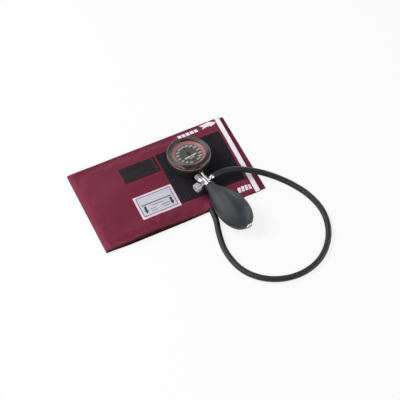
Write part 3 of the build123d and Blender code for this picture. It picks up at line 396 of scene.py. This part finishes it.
class Place:
    """A piece's own frame: an origin and three axes, in millimetres in the row's frame."""

    def __init__(self, origin, x, z):
        self.origin = np.asarray(origin, float)
        self.z = np.asarray(z, float) / np.linalg.norm(z)
        x = np.asarray(x, float) - self.z * np.dot(x, self.z)
        self.x = x / np.linalg.norm(x)
        self.y = np.cross(self.z, self.x)

    def put(self, points):
        """Local points, last axis x, y, z, as points in the row's frame: origin + x X + y Y + z Z."""
        points = np.asarray(points, float)
        return self.origin + points @ np.stack([self.x, self.y, self.z])


def turned(place, profile, count=96, lobe=None):
    """A profile of (radius, height) carried round a frame's Z: x = r cos a, y = r sin a, z = h. lobe scales the
    radius as a function of the angle."""
    radius, height = np.asarray(profile, float).T
    angle = np.linspace(0, 2 * pi, count, endpoint=False)
    scale = np.ones(count) if lobe is None else lobe(angle)
    r = radius[:, None] * scale[None]
    level = np.broadcast_to(height[:, None], r.shape)
    return place.put(np.stack([r * np.cos(angle), r * np.sin(angle), level], axis=-1))


def smooth_curve(stations, values, at):
    """A cubic curve through the values, whose slope at each station is the mean of its two runs' slopes."""
    stations, values = np.asarray(stations, float), np.asarray(values, float)
    slopes = np.gradient(values, stations)
    i = np.clip(np.searchsorted(stations, at, side="right") - 1, 0, len(stations) - 2)
    run = stations[i + 1] - stations[i]
    t = (at - stations[i]) / run
    return ((2 * t**3 - 3 * t**2 + 1) * values[i] + (t**3 - 2 * t**2 + t) * run * slopes[i]
            + (3 * t**2 - 2 * t**3) * values[i + 1] + (t**3 - t**2) * run * slopes[i + 1])


def smooth_step(value, low, high):
    """0 below low, 1 above high and 3t^2 - 2t^3 between."""
    t = np.clip((value - low) / (high - low), 0, 1)
    return t * t * (3 - 2 * t)


# Cuff: one cloth folded at the left, with the bladder's pad in its upper half

cuff_end = 125.75
half_width = 72.5
cloth = 1.0
flap_top = 5.4
pad_rise = 4.0
fold_x = -123.05
fold_height = 2.7
layer_gap = 0.02
loop_left, loop_right, loop_side = 7.7, 113.55, 47.0
patch_box = (-53.0, 4.6, 19.0, 46.4)
label_box = (-55.0, 7.2, -49.5, -8.7)
stripe_box = (117.75, 124.95, -72.3, 72.3)
gauge_foot = (42.0, 0.0)
calm_radius, pinned_radius = 42.0, 26.0
tunnel_x, tunnel_width, tunnel_rise = 44.6, 7.0, 6.4
near_lift, near_lift_x, near_lift_width = 4.9, -45.0, 56.0
pad_steps, side_steps, flap_steps = 104, 60, 70
edge_spacing = 0.45

# Soft folds of the upper cloth: middle x and y, heading in degrees, length, width and height
creases = (
    (-84, -52, -24, 34, 9.5, 1.6), (-88, -38, -24, 30, 9, -1.0), (-100, -38, -12, 18, 10, 1.0),
    (-63, -66, -24, 18, 7, 1.2), (-33, -60, 62, 12, 5, 2.2), (-14, -60, 30, 16, 5, 1.8),
    (-47, -58, 50, 10, 5, 1.1), (-72, -58, -24, 16, 4, 1.1), (-110, 8, 84, 56, 6, 0.9),
    (-92, 12, 86, 30, 8, -0.8), (-62, 8, 80, 40, 16, 0.5), (-50, 60, 8, 26, 8, 0.6),
    (-86, 48, -20, 26, 12, 0.35), (8, -58, -20, 18, 5, 0.9), (22, -60, 70, 9, 4, -0.7),
    (80, -60, 12, 22, 5, 0.4), (-10, 62, -6, 30, 6, 0.3), (58, 61, 5, 26, 5, 0.35),
)


def cuff_rise(x, y):
    """The upper cloth's height over the flap's flat margin before the simulation: a pad that steps up smoothly
    inside its seams, each crease a bell across and along its heading, a lifted near edge, and the tunnel of the
    hose. Round the gauge's foot the creases fade out."""
    pad = (smooth_step(x - fold_x, -2, 34) * smooth_step(cuff_end - x, 8.5, 17)
           * smooth_step(half_width - np.abs(y), 4.5, 15))
    rise = pad_rise * pad
    calm = 1 - np.exp(-(((x - gauge_foot[0]) ** 2 + (y - gauge_foot[1]) ** 2) / calm_radius**2) ** 2)
    for middle_x, middle_y, heading, length, width, height in creases:
        turn = radians(heading)
        along = (x - middle_x) * cos(turn) + (y - middle_y) * sin(turn)
        across = (y - middle_y) * cos(turn) - (x - middle_x) * sin(turn)
        rise = rise + calm * height * np.exp(-(along / length) ** 2 - (across / width) ** 2)
    near = smooth_step(-y, 51, 71)
    rise = rise + near_lift * near * np.exp(-((x - near_lift_x) / near_lift_width) ** 2)
    tunnel = tunnel_rise * smooth_step(-y, 50, 64) * np.exp(-((x - tunnel_x) / tunnel_width) ** 2)
    return np.maximum(rise, tunnel) + 0.12 * tunnel


def spread(low, high, steps, ends):
    """Stations from low to high, closer together at both ends: a straight share less a sine."""
    t = np.linspace(0, 1, steps)
    return low + (high - low) * (t - ends * np.sin(2 * pi * t) / (2 * pi))


pad_x = spread(fold_x, cuff_end, pad_steps, edge_spacing)
pad_y = spread(-half_width, half_width, side_steps, edge_spacing)
rest_x, rest_y = np.meshgrid(pad_x, pad_y, indexing="ij")
pad_rest = np.stack([rest_x, rest_y, flap_top + cuff_rise(rest_x, rest_y)], axis=-1)


def edge_distance(x, y):
    """How far a point lies inside the nearest of the cuff's four edges."""
    return np.minimum(np.minimum(x - fold_x, cuff_end - x), half_width - np.abs(y))


def pressed(rest):
    """The pad's cloth after a cloth simulation. A closed pillow of the upper cloth and a flat base is blown up
    softly with its seams, its base and the places under the gauge and over the hose pinned, from cloth cut 1.5%
    too large, so that it puckers. How far a point may move is capped with a tanh."""
    rows, columns = rest.shape[:2]
    base = rest.copy()
    base[..., 2] = flap_top - cloth
    pillow = sheet_piece("pad_cloth", rest, base, maroon_nylon)
    x, y = rest[..., 0], rest[..., 1]
    under_gauge = np.hypot(x - gauge_foot[0], y - gauge_foot[1]) < pinned_radius
    over_hose = (np.abs(x - tunnel_x) < 12) & (y < -48)
    pinned = (edge_distance(x, y) < 6) | under_gauge | over_hose
    held = np.concatenate([pinned.ravel(), np.ones(rows * columns, bool)])
    pins = pillow.vertex_groups.new(name="pins")
    pins.add(np.flatnonzero(held).tolist(), 1.0, "REPLACE")
    cloth_modifier = pillow.modifiers.new("cloth", "CLOTH")
    settings = cloth_modifier.settings
    settings.vertex_group_mass = "pins"
    settings.use_pressure = True
    settings.uniform_pressure_force = 4.0
    settings.shrink_min = -0.015
    settings.quality = 6
    settings.mass = 0.15
    settings.bending_stiffness = 2.0
    settings.effector_weights.gravity = 0.0
    for step in range(1, 21):
        bpy.context.scene.frame_set(step)
    settled = pillow.evaluated_get(bpy.context.evaluated_depsgraph_get()).data
    moved = np.empty(len(settled.vertices) * 3)
    settled.vertices.foreach_get("co", moved)
    moved = moved.reshape(-1, 3)[: rows * columns].reshape(rest.shape) / MM - rest
    bpy.context.scene.frame_set(1)
    bpy.data.objects.remove(pillow)
    cap = np.array([0.6, 0.6, 1.1])
    return rest + cap * np.tanh(moved / cap)


pad_cloth = pressed(pad_rest)


def cloth_height(x, y):
    """Height of the upper cloth over x and y: a bilinear sample of its grid, stepped three times towards the
    point that lies there."""
    at_x, at_y = np.array(x, float), np.array(y, float)
    for _ in range(3):
        u = np.clip(np.interp(at_x, pad_x, np.arange(pad_steps)), 0, pad_steps - 1.001)
        v = np.clip(np.interp(at_y, pad_y, np.arange(side_steps)), 0, side_steps - 1.001)
        i, j = u.astype(int), v.astype(int)
        a, b = (u - i)[..., None], (v - j)[..., None]
        found = ((1 - a) * ((1 - b) * pad_cloth[i, j] + b * pad_cloth[i, j + 1])
                 + a * ((1 - b) * pad_cloth[i + 1, j] + b * pad_cloth[i + 1, j + 1]))
        at_x, at_y = at_x + x - found[..., 0], at_y + y - found[..., 1]
    return found[..., 2]


def lower_flap(x, share, z):
    """The lower flap's cloth: its near side drifts in and its end runs askew, so that it shows past the upper
    flap's end."""
    reach = (x - fold_x) / (cuff_end - fold_x)
    near = -half_width + 2.3 * reach - 1.5 * smooth_step(x, -118, -85) * (1 - smooth_step(x, 0, 70))
    y = near + (half_width - near) * share
    end_shift = (9.0 - 3.2 * share) * smooth_step(reach, 0.8, 1.0)
    curl = 0.7 * smooth_step(reach, 0.9, 1.0) * (1 - share) ** 2
    return np.stack([x + end_shift, y, z + curl], axis=-1)


share = (pad_y + half_width) / (2 * half_width)
flap_x = spread(fold_x, cuff_end, flap_steps, edge_spacing)[::-1]
fold_turn = np.linspace(pi / 2, 3 * pi / 2, 13)[1:-1][::-1]


def folded_cloth(depth, upper):
    """One layer of the folded cuff, depth millimetres in from its outer face, as rows from the lower flap's
    end, round the fold on a half circle, and over the upper flap."""
    below = lower_flap(flap_x[:, None], share[None], np.full((len(flap_x), len(share)), depth))
    radius = fold_height - depth
    ring_x = fold_x + radius * np.cos(fold_turn)
    ring_z = fold_height + radius * np.sin(fold_turn)
    ring = np.stack([np.repeat(ring_x[:, None], len(share), 1), np.repeat(pad_y[None], len(ring_x), 0),
                     np.repeat(ring_z[:, None], len(share), 1)], axis=-1)
    return np.concatenate([below, ring, upper])


# The lining follows the cloth's lift at the edges, and dips under the hose where that runs in
edge_lift = (pad_cloth[..., 2] - flap_top) * (1 - smooth_step(edge_distance(rest_x, rest_y), 3, 14))
hose_dip = np.exp(-((rest_x - tunnel_x) / 6.0) ** 4) * smooth_step(-rest_y, 52, 62)
edge_lift = edge_lift * (1 - hose_dip)
under_cloth, lining_upper, lining_lower = pad_cloth.copy(), pad_cloth.copy(), pad_cloth.copy()
under_cloth[..., 2] -= cloth
lining_upper[..., 2] = flap_top - cloth + edge_lift - 2.3 * hose_dip - layer_gap
lining_lower[..., 2] = flap_top - 2 * cloth + 0.9 * edge_lift - 1.36 * hose_dip

outer_cloth = sheet_piece(
    "cuff_cloth", folded_cloth(0.0, pad_cloth), folded_cloth(cloth, under_cloth), maroon_nylon)
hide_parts("cuff_outer_fabric")
inner_cloth = sheet_piece(
    "cuff_inner", folded_cloth(cloth + layer_gap, lining_upper), folded_cloth(2 * cloth, lining_lower),
    lining_nylon)
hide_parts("cuff_lining")


# Pieces sewn and printed on the cuff

def rounded(inset, reach):
    """A quarter circle's rise from 0 at a sheet's edge to 1 at reach inside it."""
    return np.sqrt(np.maximum(0, 1 - (1 - np.clip(inset / reach, 0, 1)) ** 2))


def edged(low, high, reach, step=2.2):
    """Stations from low to high at about every step, and closer over the first and last reach."""
    ends = np.array([0, 0.12, 0.35, 0.7, 1.0]) * reach
    middle = np.linspace(low + reach, high - reach, int((high - low) / step))[1:-1]
    return np.r_[low + ends, middle, (high - ends)[::-1]]


def sewn(name, left, right, near, far, thickness, finish, slot, reach=0.8):
    """A flat piece sewn on the cuff: it follows the cloth and its edge is a quarter round."""
    x, y = np.meshgrid(edged(left, right, reach), edged(near, far, reach), indexing="ij")
    inset = np.minimum(np.minimum(x - left, right - x), np.minimum(y - near, far - y))
    base = cloth_height(x, y)
    upper = np.stack([x, y, base + 0.05 + (thickness - 0.05) * rounded(inset, reach)], axis=-1)
    lower = np.stack([x, y, base - 0.1], axis=-1)
    return sheet_piece(name, upper, lower, finish)


def printed(name, quads, lift, finish, steps=7):
    """Flat marks on the cuff: each quad of four corners is a small grid that follows the cloth at a lift."""
    corners = np.asarray(quads, float)
    u, v = np.meshgrid(np.linspace(0, 1, steps), np.linspace(0, 1, steps), indexing="ij")
    weights = np.stack([(1 - u) * (1 - v), u * (1 - v), u * v, (1 - u) * v], axis=-1)
    flat = np.einsum("abk,qkc->qabc", weights, corners)
    height = cloth_height(flat[..., 0], flat[..., 1])[..., None]
    upper = np.concatenate([flat, height + lift], axis=-1)
    lower = np.concatenate([flat, height + lift - 0.1], axis=-1)
    points = np.stack([upper, lower], axis=1).reshape(-1, 3)
    faces = sheet_faces(steps, steps)[None] + 2 * steps * steps * np.arange(len(corners))[:, None, None]
    return mesh_piece(name, points, faces.reshape(-1, 4), finish)


def bars(marks):
    """Corners of upright rectangles given as left, right, near, far."""
    return [((l, n), (r, n), (r, f), (l, f)) for l, r, n, f in marks]


loop_tape = sewn("loop_tape", loop_left, loop_right, -loop_side, loop_side, 1.2, loop_pile, "loop_tape")
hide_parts("loop_field")
patch = sewn("patch_weave", *patch_box, 0.8, patch_tape, "hook_tape")
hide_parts("hanger_patch")
label = sewn("label_cloth_face", *label_box, 0.5, label_satin, "label_cloth", 0.5)
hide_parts("label")
stripe = sewn("stripe_face", *stripe_box, 0.3, white_ink, "stripe_print", 0.3)
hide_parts("index_stripe")

# Marks in millimetres from the middle of the folded cuff, and how far each kind stands over the cloth. The
# printed words are left off: plain bars stand there.
panel_lift, label_ink_lift, margin_ink_lift = 0.53, 0.6, 0.35
label_frame_marks = bars([
    (-51.6, 3.4, -12.9, -11.9), (-51.6, 3.4, -45.9, -44.9), (-51.6, -50.6, -45.9, -11.9),
    (2.4, 3.4, -45.9, -11.9)])
label_lines = bars([
    (-47.4, -0.6, -27.4, -25.9), (-33.0, -14.2, -31.9, -31.0), (-37.2, -28.8, -37.0, -36.1),
    (-37.0, -27.8, -41.0, -40.1), (-19.6, -7.0, -36.6, -35.7), (-17.6, -7.4, -40.4, -39.5)])
arrow_marks = [
    quad for middle in (-44.2, -2.9)
    for quad in (((middle - 1.9, -29.2), (middle + 1.9, -29.2), (middle + 1.6, -36.8), (middle - 1.6, -36.8)),
                 ((middle - 3.3, -36.4), (middle + 3.3, -36.4), (middle + 0.05, -42.0), (middle - 0.05, -42.0)))
]
printed("label_panel", bars([(-51.2, 3.0, -45.5, -12.3)]), panel_lift, label_field, steps=16)
printed("label_marks", label_frame_marks + label_lines + arrow_marks, label_ink_lift, label_ink,
        steps=8)

index_bars = bars([(52.4 + 6.8 * k, 57.8 + 6.8 * k, 59.0, 66.8) for k in range(5)])
index_arrow = [((91.0, 60.6), (107.0, 62.6), (107.0, 65.6), (96.0, 65.3)),
               ((96.0, 65.3), (107.0, 65.6), (107.0, 70.9), (90.4, 69.7)),
               ((106.0, 58.9), (117.0, 66.2), (117.0, 66.4), (106.0, 72.0))]
size_bars = bars([(71.0 + 5.7 * k, 75.4 + 5.7 * k, -64.4, -57.6) for k in (0, 1, 2, 4, 5, 6, 7)])
printed("index_arrow", index_arrow, margin_ink_lift, white_ink)
printed("margin_bars", index_bars + size_bars, margin_ink_lift, white_ink)


def stitches(name, paths, finish, lift, width=0.5, pitch=3.0, length=2.1, sides=6):
    """Thread along straight seams: at every pitch a stitch, a thin spindle whose round section's width follows
    a half circle along it."""
    starts, heads = [], []
    for begin, end in paths:
        begin, end = np.array(begin, float), np.array(end, float)
        run = np.linalg.norm(end - begin)
        count = max(2, int(run / pitch))
        places = (np.arange(count) + 0.5)[:, None] / count
        starts.append(begin + (end - begin) * places)
        heads.append(np.repeat((end - begin)[None] / run, count, 0))
    middle, head = np.concatenate(starts), np.concatenate(heads)
    along = np.linspace(-0.5, 0.5, sides)
    angle = np.linspace(0, 2 * pi, sides, endpoint=False)
    swell = np.sqrt(np.maximum(0, 1 - (2 * along) ** 2)) * 0.5 * width
    x = np.broadcast_to(along[:, None] * length, (sides, sides))
    y = swell[:, None] * np.cos(angle)
    z = swell[:, None] * np.sin(angle)
    side = np.stack([-head[:, 1], head[:, 0]], axis=-1)
    head, side = head[:, None, None], side[:, None, None]
    flat = middle[:, None, None] + x[None, ..., None] * head + y[None, ..., None] * side
    height = cloth_height(flat[..., 0], flat[..., 1]) + lift + z[None]
    points = np.concatenate([flat, height[..., None]], axis=-1).reshape(-1, 3)
    first = sides**2 * np.arange(len(middle))[:, None, None]
    faces = grid_faces(sides, sides, round_columns=True)[None] + first
    return mesh_piece(name, points, faces.reshape(-1, 4), finish)


def box_seam(left, right, near, far):
    """The four straight seams of a sewn rectangle."""
    corners = [(left, near), (right, near), (right, far), (left, far)]
    return list(zip(corners, corners[1:] + corners[:1]))


loop_inset = 1.6
stitches("cuff_seam", box_seam(-116, 124.9 - 8.2, -69.6, 69.6), seam_thread, lift=0.02)
stitches("loop_seam", box_seam(loop_left + loop_inset, loop_right - loop_inset, loop_inset - loop_side,
                               loop_side - loop_inset), loop_pile, lift=1.15)
stitches("patch_seam", box_seam(-51.4, 3.2, 21.0, 44.4), seam_thread, lift=0.8)
stitches("label_seam", box_seam(-53.8, 6.0, -48.5, -9.5), white_ink, lift=0.48, width=0.35)
printed("patch_band", bars([(1.2, 4.2, 19.8, 45.6)]), 0.84, patch_trim, steps=9)
printed("patch_line", bars([(-0.4, 0.6, 20.6, 44.8)]), 0.9, olive_thread, steps=9)

# Bladder inside the cuff's pad, close under the cloth
bag_left, bag_right, bag_side = -105.0, 112.5, 59.5
bag_x, bag_y = np.meshgrid(np.linspace(bag_left, bag_right, 90), np.linspace(-bag_side, bag_side, 50),
                           indexing="ij")
bag_inset = np.minimum(np.minimum(bag_x - bag_left, bag_right - bag_x), bag_side - np.abs(bag_y))
bag_floor = np.full(bag_x.shape, flap_top - cloth + 0.05)
bag_top = np.maximum(cloth_height(bag_x, bag_y) - cloth - 0.25, bag_floor)
bag_lid = bag_floor + (bag_top - bag_floor) * rounded(bag_inset, 2.5)
bag = sheet_piece("bladder_bag", np.stack([bag_x, bag_y, bag_lid + 0.02], axis=-1),
                  np.stack([bag_x, bag_y, bag_floor], axis=-1), seal_rubber)
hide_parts("bladder")


# Bulb

bulb_turn, bulb_dip = radians(16.5), radians(5.0)
across = np.array([cos(bulb_turn), sin(bulb_turn), 0])
bulb_line = np.array([sin(bulb_turn) * cos(bulb_dip), -cos(bulb_turn) * cos(bulb_dip), -sin(bulb_dip)])
upward = np.cross(across, -bulb_line)
belly_radius, belly_station, bulb_length = 23.4, 51.0, 88.0
tail_reach, tail_power = 38.0, 2.25
floor_gap = 0.3
neck = (53.4, -44.1, belly_radius + floor_gap + belly_station * sin(bulb_dip))
bulb_place = Place(neck, upward, bulb_line)

# The neck's side is a cubic curve from its lip to the belly, and the tail's side an oval of the tail's power
fore = np.linspace(4.0, belly_station, 48)
fore_stations = [0, 5, 12, 20, 30, 40, belly_station, 62]
fore_radius = smooth_curve(fore_stations, [7.7, 7.7, 10.3, 14.6, 18.8, 21.7, belly_radius, 22.5], fore)
aft = belly_station + (bulb_length - belly_station) * np.sin(np.linspace(0, pi / 2, 36))[1:]
aft_radius = belly_radius * (1 - ((aft - belly_station) / tail_reach) ** tail_power) ** (1 / tail_power)
bulb_profile = np.concatenate([
    [(0, 1.4), (6.2, 1.4), (6.5, 0.3), (7.0, 0.0), (7.9, 0.1), (8.25, 0.7), (8.2, 1.7), (7.8, 2.3), (7.7, 3.0)],
    np.c_[fore_radius, fore], np.c_[aft_radius, aft],
    [(5.9, 88.25), (5.0, 88.2), (4.6, 87.5), (0, 87.3)]])
bulb = grid_piece("bulb_skin", turned(bulb_place, bulb_profile, count=112), bulb_rubber,
                  round_columns=True)
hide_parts("bulb")


# Gauge marks

gauge_tilt, gauge_heading, dial_turn = radians(10.0), radians(64.85), radians(37.0)
gauge_axis = np.array([sin(gauge_tilt) * cos(gauge_heading), sin(gauge_tilt) * sin(gauge_heading),
                       cos(gauge_tilt)])
gauge_level = np.array([sin(gauge_heading), -cos(gauge_heading), 0])
dial_right = gauge_level * cos(dial_turn) + np.cross(gauge_axis, gauge_level) * sin(dial_turn)
dial_face = -1.8
gauge_place = Place((46.4, 10.4, 41.689), dial_right, gauge_axis)
full_pressure, dial_sweep = 300, 337.5
tick_rim, numeral_radius, numeral_size = 20.2, 16.8, 4.0
ink_sink, ink_rise, tick_rise, numeral_lift = 0.02, 0.04, 0.05, 0.02


def dial_angle(pressure):
    """Where a pressure stands on the dial: zero at six o'clock and the full pressure at the sweep's end,
    clockwise from there."""
    return radians(-90) - radians(dial_sweep) * pressure / full_pressure


def dial_piece(name, outlines, rise, finish):
    """Flat marks on the dial from outlines of 4 corners, sunk a little into its face."""
    points, faces = slabs(outlines, dial_face - ink_sink, dial_face + rise)
    return mesh_piece(name, gauge_place.put(points), faces, finish)


pressures = np.arange(0, full_pressure + 1, 2)
angles = dial_angle(pressures)
tens, twenties = pressures % 10 == 0, pressures % 20 == 0
inner_end = np.where(twenties, 18.9, np.where(tens, 19.2, 19.6))
half_tick = np.where(twenties, 0.2, np.where(tens, 0.15, 0.09))
ray = np.stack([np.cos(angles), np.sin(angles)], axis=-1)
side = np.stack([-ray[:, 1], ray[:, 0]], axis=-1) * half_tick[:, None]
tick_start, tick_end = ray * inner_end[:, None], ray * tick_rim
tick_corners = np.stack([tick_end - side, tick_end + side, tick_start + side, tick_start - side], axis=1)
dial_piece("dial_ticks", tick_corners, tick_rise, dial_grey)


def numeral(text, size):
    """A number's filled outline as points and faces, centred, in millimetres."""
    curve = bpy.data.curves.new("numeral", "FONT")
    curve.body, curve.size = text, size
    curve.align_x, curve.align_y = "CENTER", "CENTER"
    curve.extrude, curve.resolution_u, curve.offset = 0.03, 3, 0.05
    holder = bpy.data.objects.new("numeral", curve)
    mesh = bpy.data.meshes.new_from_object(holder)
    points = np.array([v.co for v in mesh.vertices])
    faces = [list(p.vertices) for p in mesh.polygons]
    bpy.data.objects.remove(holder)
    bpy.data.curves.remove(curve)
    bpy.data.meshes.remove(mesh)
    return points, faces


numeral_points, numeral_faces, seen_points = [], [], 0
for pressure in range(20, full_pressure + 1, 20):
    points, faces = numeral(str(pressure), numeral_size)
    turn = dial_angle(pressure)
    middle = (numeral_radius * cos(turn), numeral_radius * sin(turn), dial_face + numeral_lift)
    numeral_points.append(points + middle)
    numeral_faces += [[corner + seen_points for corner in face] for face in faces]
    seen_points += len(points)


number_mesh = bpy.data.meshes.new("dial_numbers")
number_mesh.from_pydata((gauge_place.put(np.concatenate(numeral_points)) * MM).tolist(), [], numeral_faces)
number_mesh.materials.append(dial_white)
numbers = bpy.data.objects.new("dial_numbers", number_mesh)
bpy.context.collection.objects.link(numbers)
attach(numbers, "instrument")

dial_bars = [((-10.5, -5.8), (10.5, -5.8), (10.5, -3.4), (-10.5, -3.4)),
             ((-5.0, -7.9), (5.0, -7.9), (5.0, -7.1), (-5.0, -7.1)),
             ((-3.6, -9.6), (3.6, -9.6), (3.6, -8.9), (-3.6, -8.9))]
dial_piece("dial_bars", dial_bars, ink_rise, dial_pale)
dot_angle, dot_radius, dot_place = np.radians([45, 135, 225, 315]), 1.5, (0.9, 11.9)
dot_corners = dot_place + dot_radius * np.stack([np.cos(dot_angle), np.sin(dot_angle)], axis=-1)
dial_piece("dial_dot", [dot_corners], ink_rise, pointer_paint)


# Gauge: a hub on the pointer, a rubber bumper with a round crown, a dished bezel with a bead round the glass,
# and the red bead under the bumper

def arc(middle_radius, middle_height, across, rise, start, end, count):
    """Points of (radius, height) on part of an ellipse: the middle plus (across cos t, rise sin t), with t from
    start to end in degrees."""
    t = np.radians(np.linspace(start, end, count))
    return np.stack([middle_radius + across * np.cos(t), middle_height + rise * np.sin(t)], axis=-1)


def ring_piece(name, profile, finish):
    """A closed profile of (radius, height) carried all the way round the gauge's axis."""
    return grid_piece(name, turned(gauge_place, profile, count=160), finish, round_rows=True,
                      round_columns=True)


hub_profile = [(0, -0.95), (2.1, -0.95), (2.35, -0.8), (2.35, -0.55), (2.0, -0.28), (1.2, -0.19), (0, -0.18)]
grid_piece("hub_cap", turned(gauge_place, hub_profile, count=64), pointer_paint,
           round_columns=True, body="pointer")
crown = arc(29.6, -0.6, 3.5, 3.0, -20, 72, 18)
bumper_rim = ring_piece(
    "bumper_rim", np.concatenate([[(30.62, -1.78), (32.3, -1.8)], crown, [(30.62, 1.95)]]),
    bumper_rubber)
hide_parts("bumper")
bezel = ring_piece("bezel_face", [
    (23.0, -3.0), (27.4, -3.0), (27.4, -1.2), (30.58, -1.2), (30.58, 1.9), (30.45, 2.2), (30.2, 2.26),
    (29.6, 2.12), (29.1, 2.1), (28.4, 2.4), (27.9, 2.75), (27.4, 2.93), (27.0, 2.96), (26.6, 2.9), (25.9, 2.68),
    (25.6, 2.5), (25.4, 2.1), (25.4, 1.5), (26.0, 1.5), (26.0, 0.0), (24.4, -1.8),
    (24.4, -2.4), (23.0, -2.4)], bezel_plastic)
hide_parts("top_ring")
accent = ring_piece("accent_bead", [
    (30.62, -3.4), (32.5, -3.4), (32.9, -3.15), (33.0, -2.7), (32.9, -2.1), (32.4, -1.82), (30.62, -1.82)],
    red_plastic)
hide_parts("accent_ring")


# Release knob: a lobed grip on the needle's stub

knob_place = Place((51.42, -37.41, 28.755), (0, 0, 1), (-0.95882, -0.284015, 0))
knob_profile = [(0, 11.6), (5.0, 11.6), (6.1, 11.8), (6.6, 12.6), (6.7, 14.0), (6.7, 16.5), (6.7, 18.4),
                (6.5, 19.6), (5.9, 20.3), (4.2, 20.5), (3.8, 20.1), (0, 20.1)]


def knob_lobes(angle):
    """The knob's radius as a share of its profile's: six round lobes with sharp grooves between."""
    return 0.64 + 0.36 * np.sqrt(np.abs(np.cos(3 * angle)))


knob = grid_piece("knob_grip", turned(knob_place, knob_profile, count=192, lobe=knob_lobes), satin_metal,
                  round_columns=True, body="knob")
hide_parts("release_knob")


# Every solid of the part has a finish, also those that a piece above takes the place of

node_finishes = {
    "accent_ring": red_plastic, "air_screen": chrome, "bladder": bulb_rubber, "bladder_port": chrome,
    "bulb": bulb_rubber, "bulb_spigot": chrome, "bumper": bumper_rubber, "capsule": brass,
    "check_cage": brass, "check_disc": seal_rubber, "cuff_lining": lining_nylon,
    "cuff_outer_fabric": maroon_nylon, "dial": dial_paint, "filter_cap": dark_chrome,
    "gauge_case": case_plastic, "gauge_stem": chrome, "gland_nut": chrome, "hairspring": steel,
    "hanger_patch": patch_tape, "hook_panel": hook_tape, "hose_nipple": chrome,
    "index_stripe": white_ink, "inlet_cage": brass, "inlet_disc": seal_rubber,
    "inlet_valve_body": chrome, "label": label_satin, "lens": window_glass, "lens_gasket": seal_rubber,
    "loop_field": loop_pile, "movement_base": brass, "movement_bridge": brass,
    "movement_pillars": brass, "movement_posts": brass, "needle_oring": seal_rubber,
    "pointer": pointer_paint, "pointer_staff": steel, "pressure_line": brass, "push_pin": steel,
    "red_ring": red_plastic, "release_knob": satin_metal, "release_needle": steel,
    "rocking_shaft": steel, "sector_gear": brass, "top_ring": bezel_plastic, "valve_body": chrome,
}
for node_name, finish in node_finishes.items():
    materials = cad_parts[node_name].data.materials
    materials.clear()
    materials.append(finish)


# Stage: a white floor, two soft lamps and white surroundings. Seen straight, the surroundings are plain white.
# Shiny pieces mirror a dark room with a few bright boxes in it, and not the lamps.

floor_mesh = bpy.data.meshes.new("floor")
floor_mesh.from_pydata([(-6, -6, 0), (6, -6, 0), (6, 6, 0), (-6, 6, 0)], [], [(0, 1, 2, 3)])
floor = bpy.data.objects.new("floor", floor_mesh)
bpy.context.collection.objects.link(floor)
paper = Finish("floor_paper")
seen_straight = paper.node("LightPath", {}, output="Is Camera Ray")
lit = paper.node("BsdfDiffuse", {}, Color=(0.92, 0.92, 0.92, 1))
white = paper.node("Emission", {}, Color=(1, 1, 1, 1), Strength=1.0)
paper.end(paper.node("MixShader", {}, seen_straight * 0.8, lit, white))
floor_mesh.materials.append(paper.material)

world = bpy.data.worlds.new("studio")
bpy.context.scene.world = world
world.use_nodes = True
room = Nodes(world.node_tree)
room_light = 0.42
heading = room.node("TexCoord", {}, output="Generated")


def towards(direction):
    """How far the ray's heading agrees with a direction: 1 along it, 0 across it."""
    return room.node("VectorMath", {"operation": "DOT_PRODUCT"}, heading, direction, output="Value")


def ray_kind(kind):
    return room.node("LightPath", {}, output=f"Is {kind} Ray")


rightward, upward_share = towards((0.905, -0.425, 0)), towards((0, 0, 1))
low_back = towards((0.629, 0.72, 0.292))
leftward = 0 - rightward
key_box = leftward.rise(0.2, 0.3) * leftward.rise(0.62, 0.48) * upward_share.rise(0.3, 0.6)
grey_box = rightward.rise(0.08, 0.16) * rightward.rise(0.55, 0.42) * upward_share.rise(0.0, 0.3)
side_walls = abs(rightward).rise(0.7, 0.8)
mirrored = 0.1 + 3.2 * key_box + 0.5 * grey_box + 2.4 * side_walls + 2.0 * low_back.rise(0.95, 0.975)
straight = ray_kind("Camera").most(ray_kind("Transmission"))
glossy = ray_kind("Glossy")
strength = (room_light + straight * (1 - room_light)) * (1 - glossy) + mirrored * glossy
room.end(room.node("Background", {}, (1, 1, 1, 1), strength), "OutputWorld")


def lamp(name, place, size, power):
    """A square soft lamp, aimed at the middle of the set."""
    made = bpy.data.objects.new(name, bpy.data.lights.new(name, "AREA"))
    made.data.size = size
    made.data.energy = power
    made.location = place
    made.rotation_euler = (-Vector(place)).to_track_quat("-Z", "Y").to_euler()
    made.visible_glossy = False
    bpy.context.collection.objects.link(made)


lamp("key_lamp", (-0.9, 0.5, 1.3), 0.8, 17)
lamp("fill_lamp", (0.2, -1.5, 1.3), 0.9, 9)

bpy.context.scene.view_settings.view_transform = "Standard"
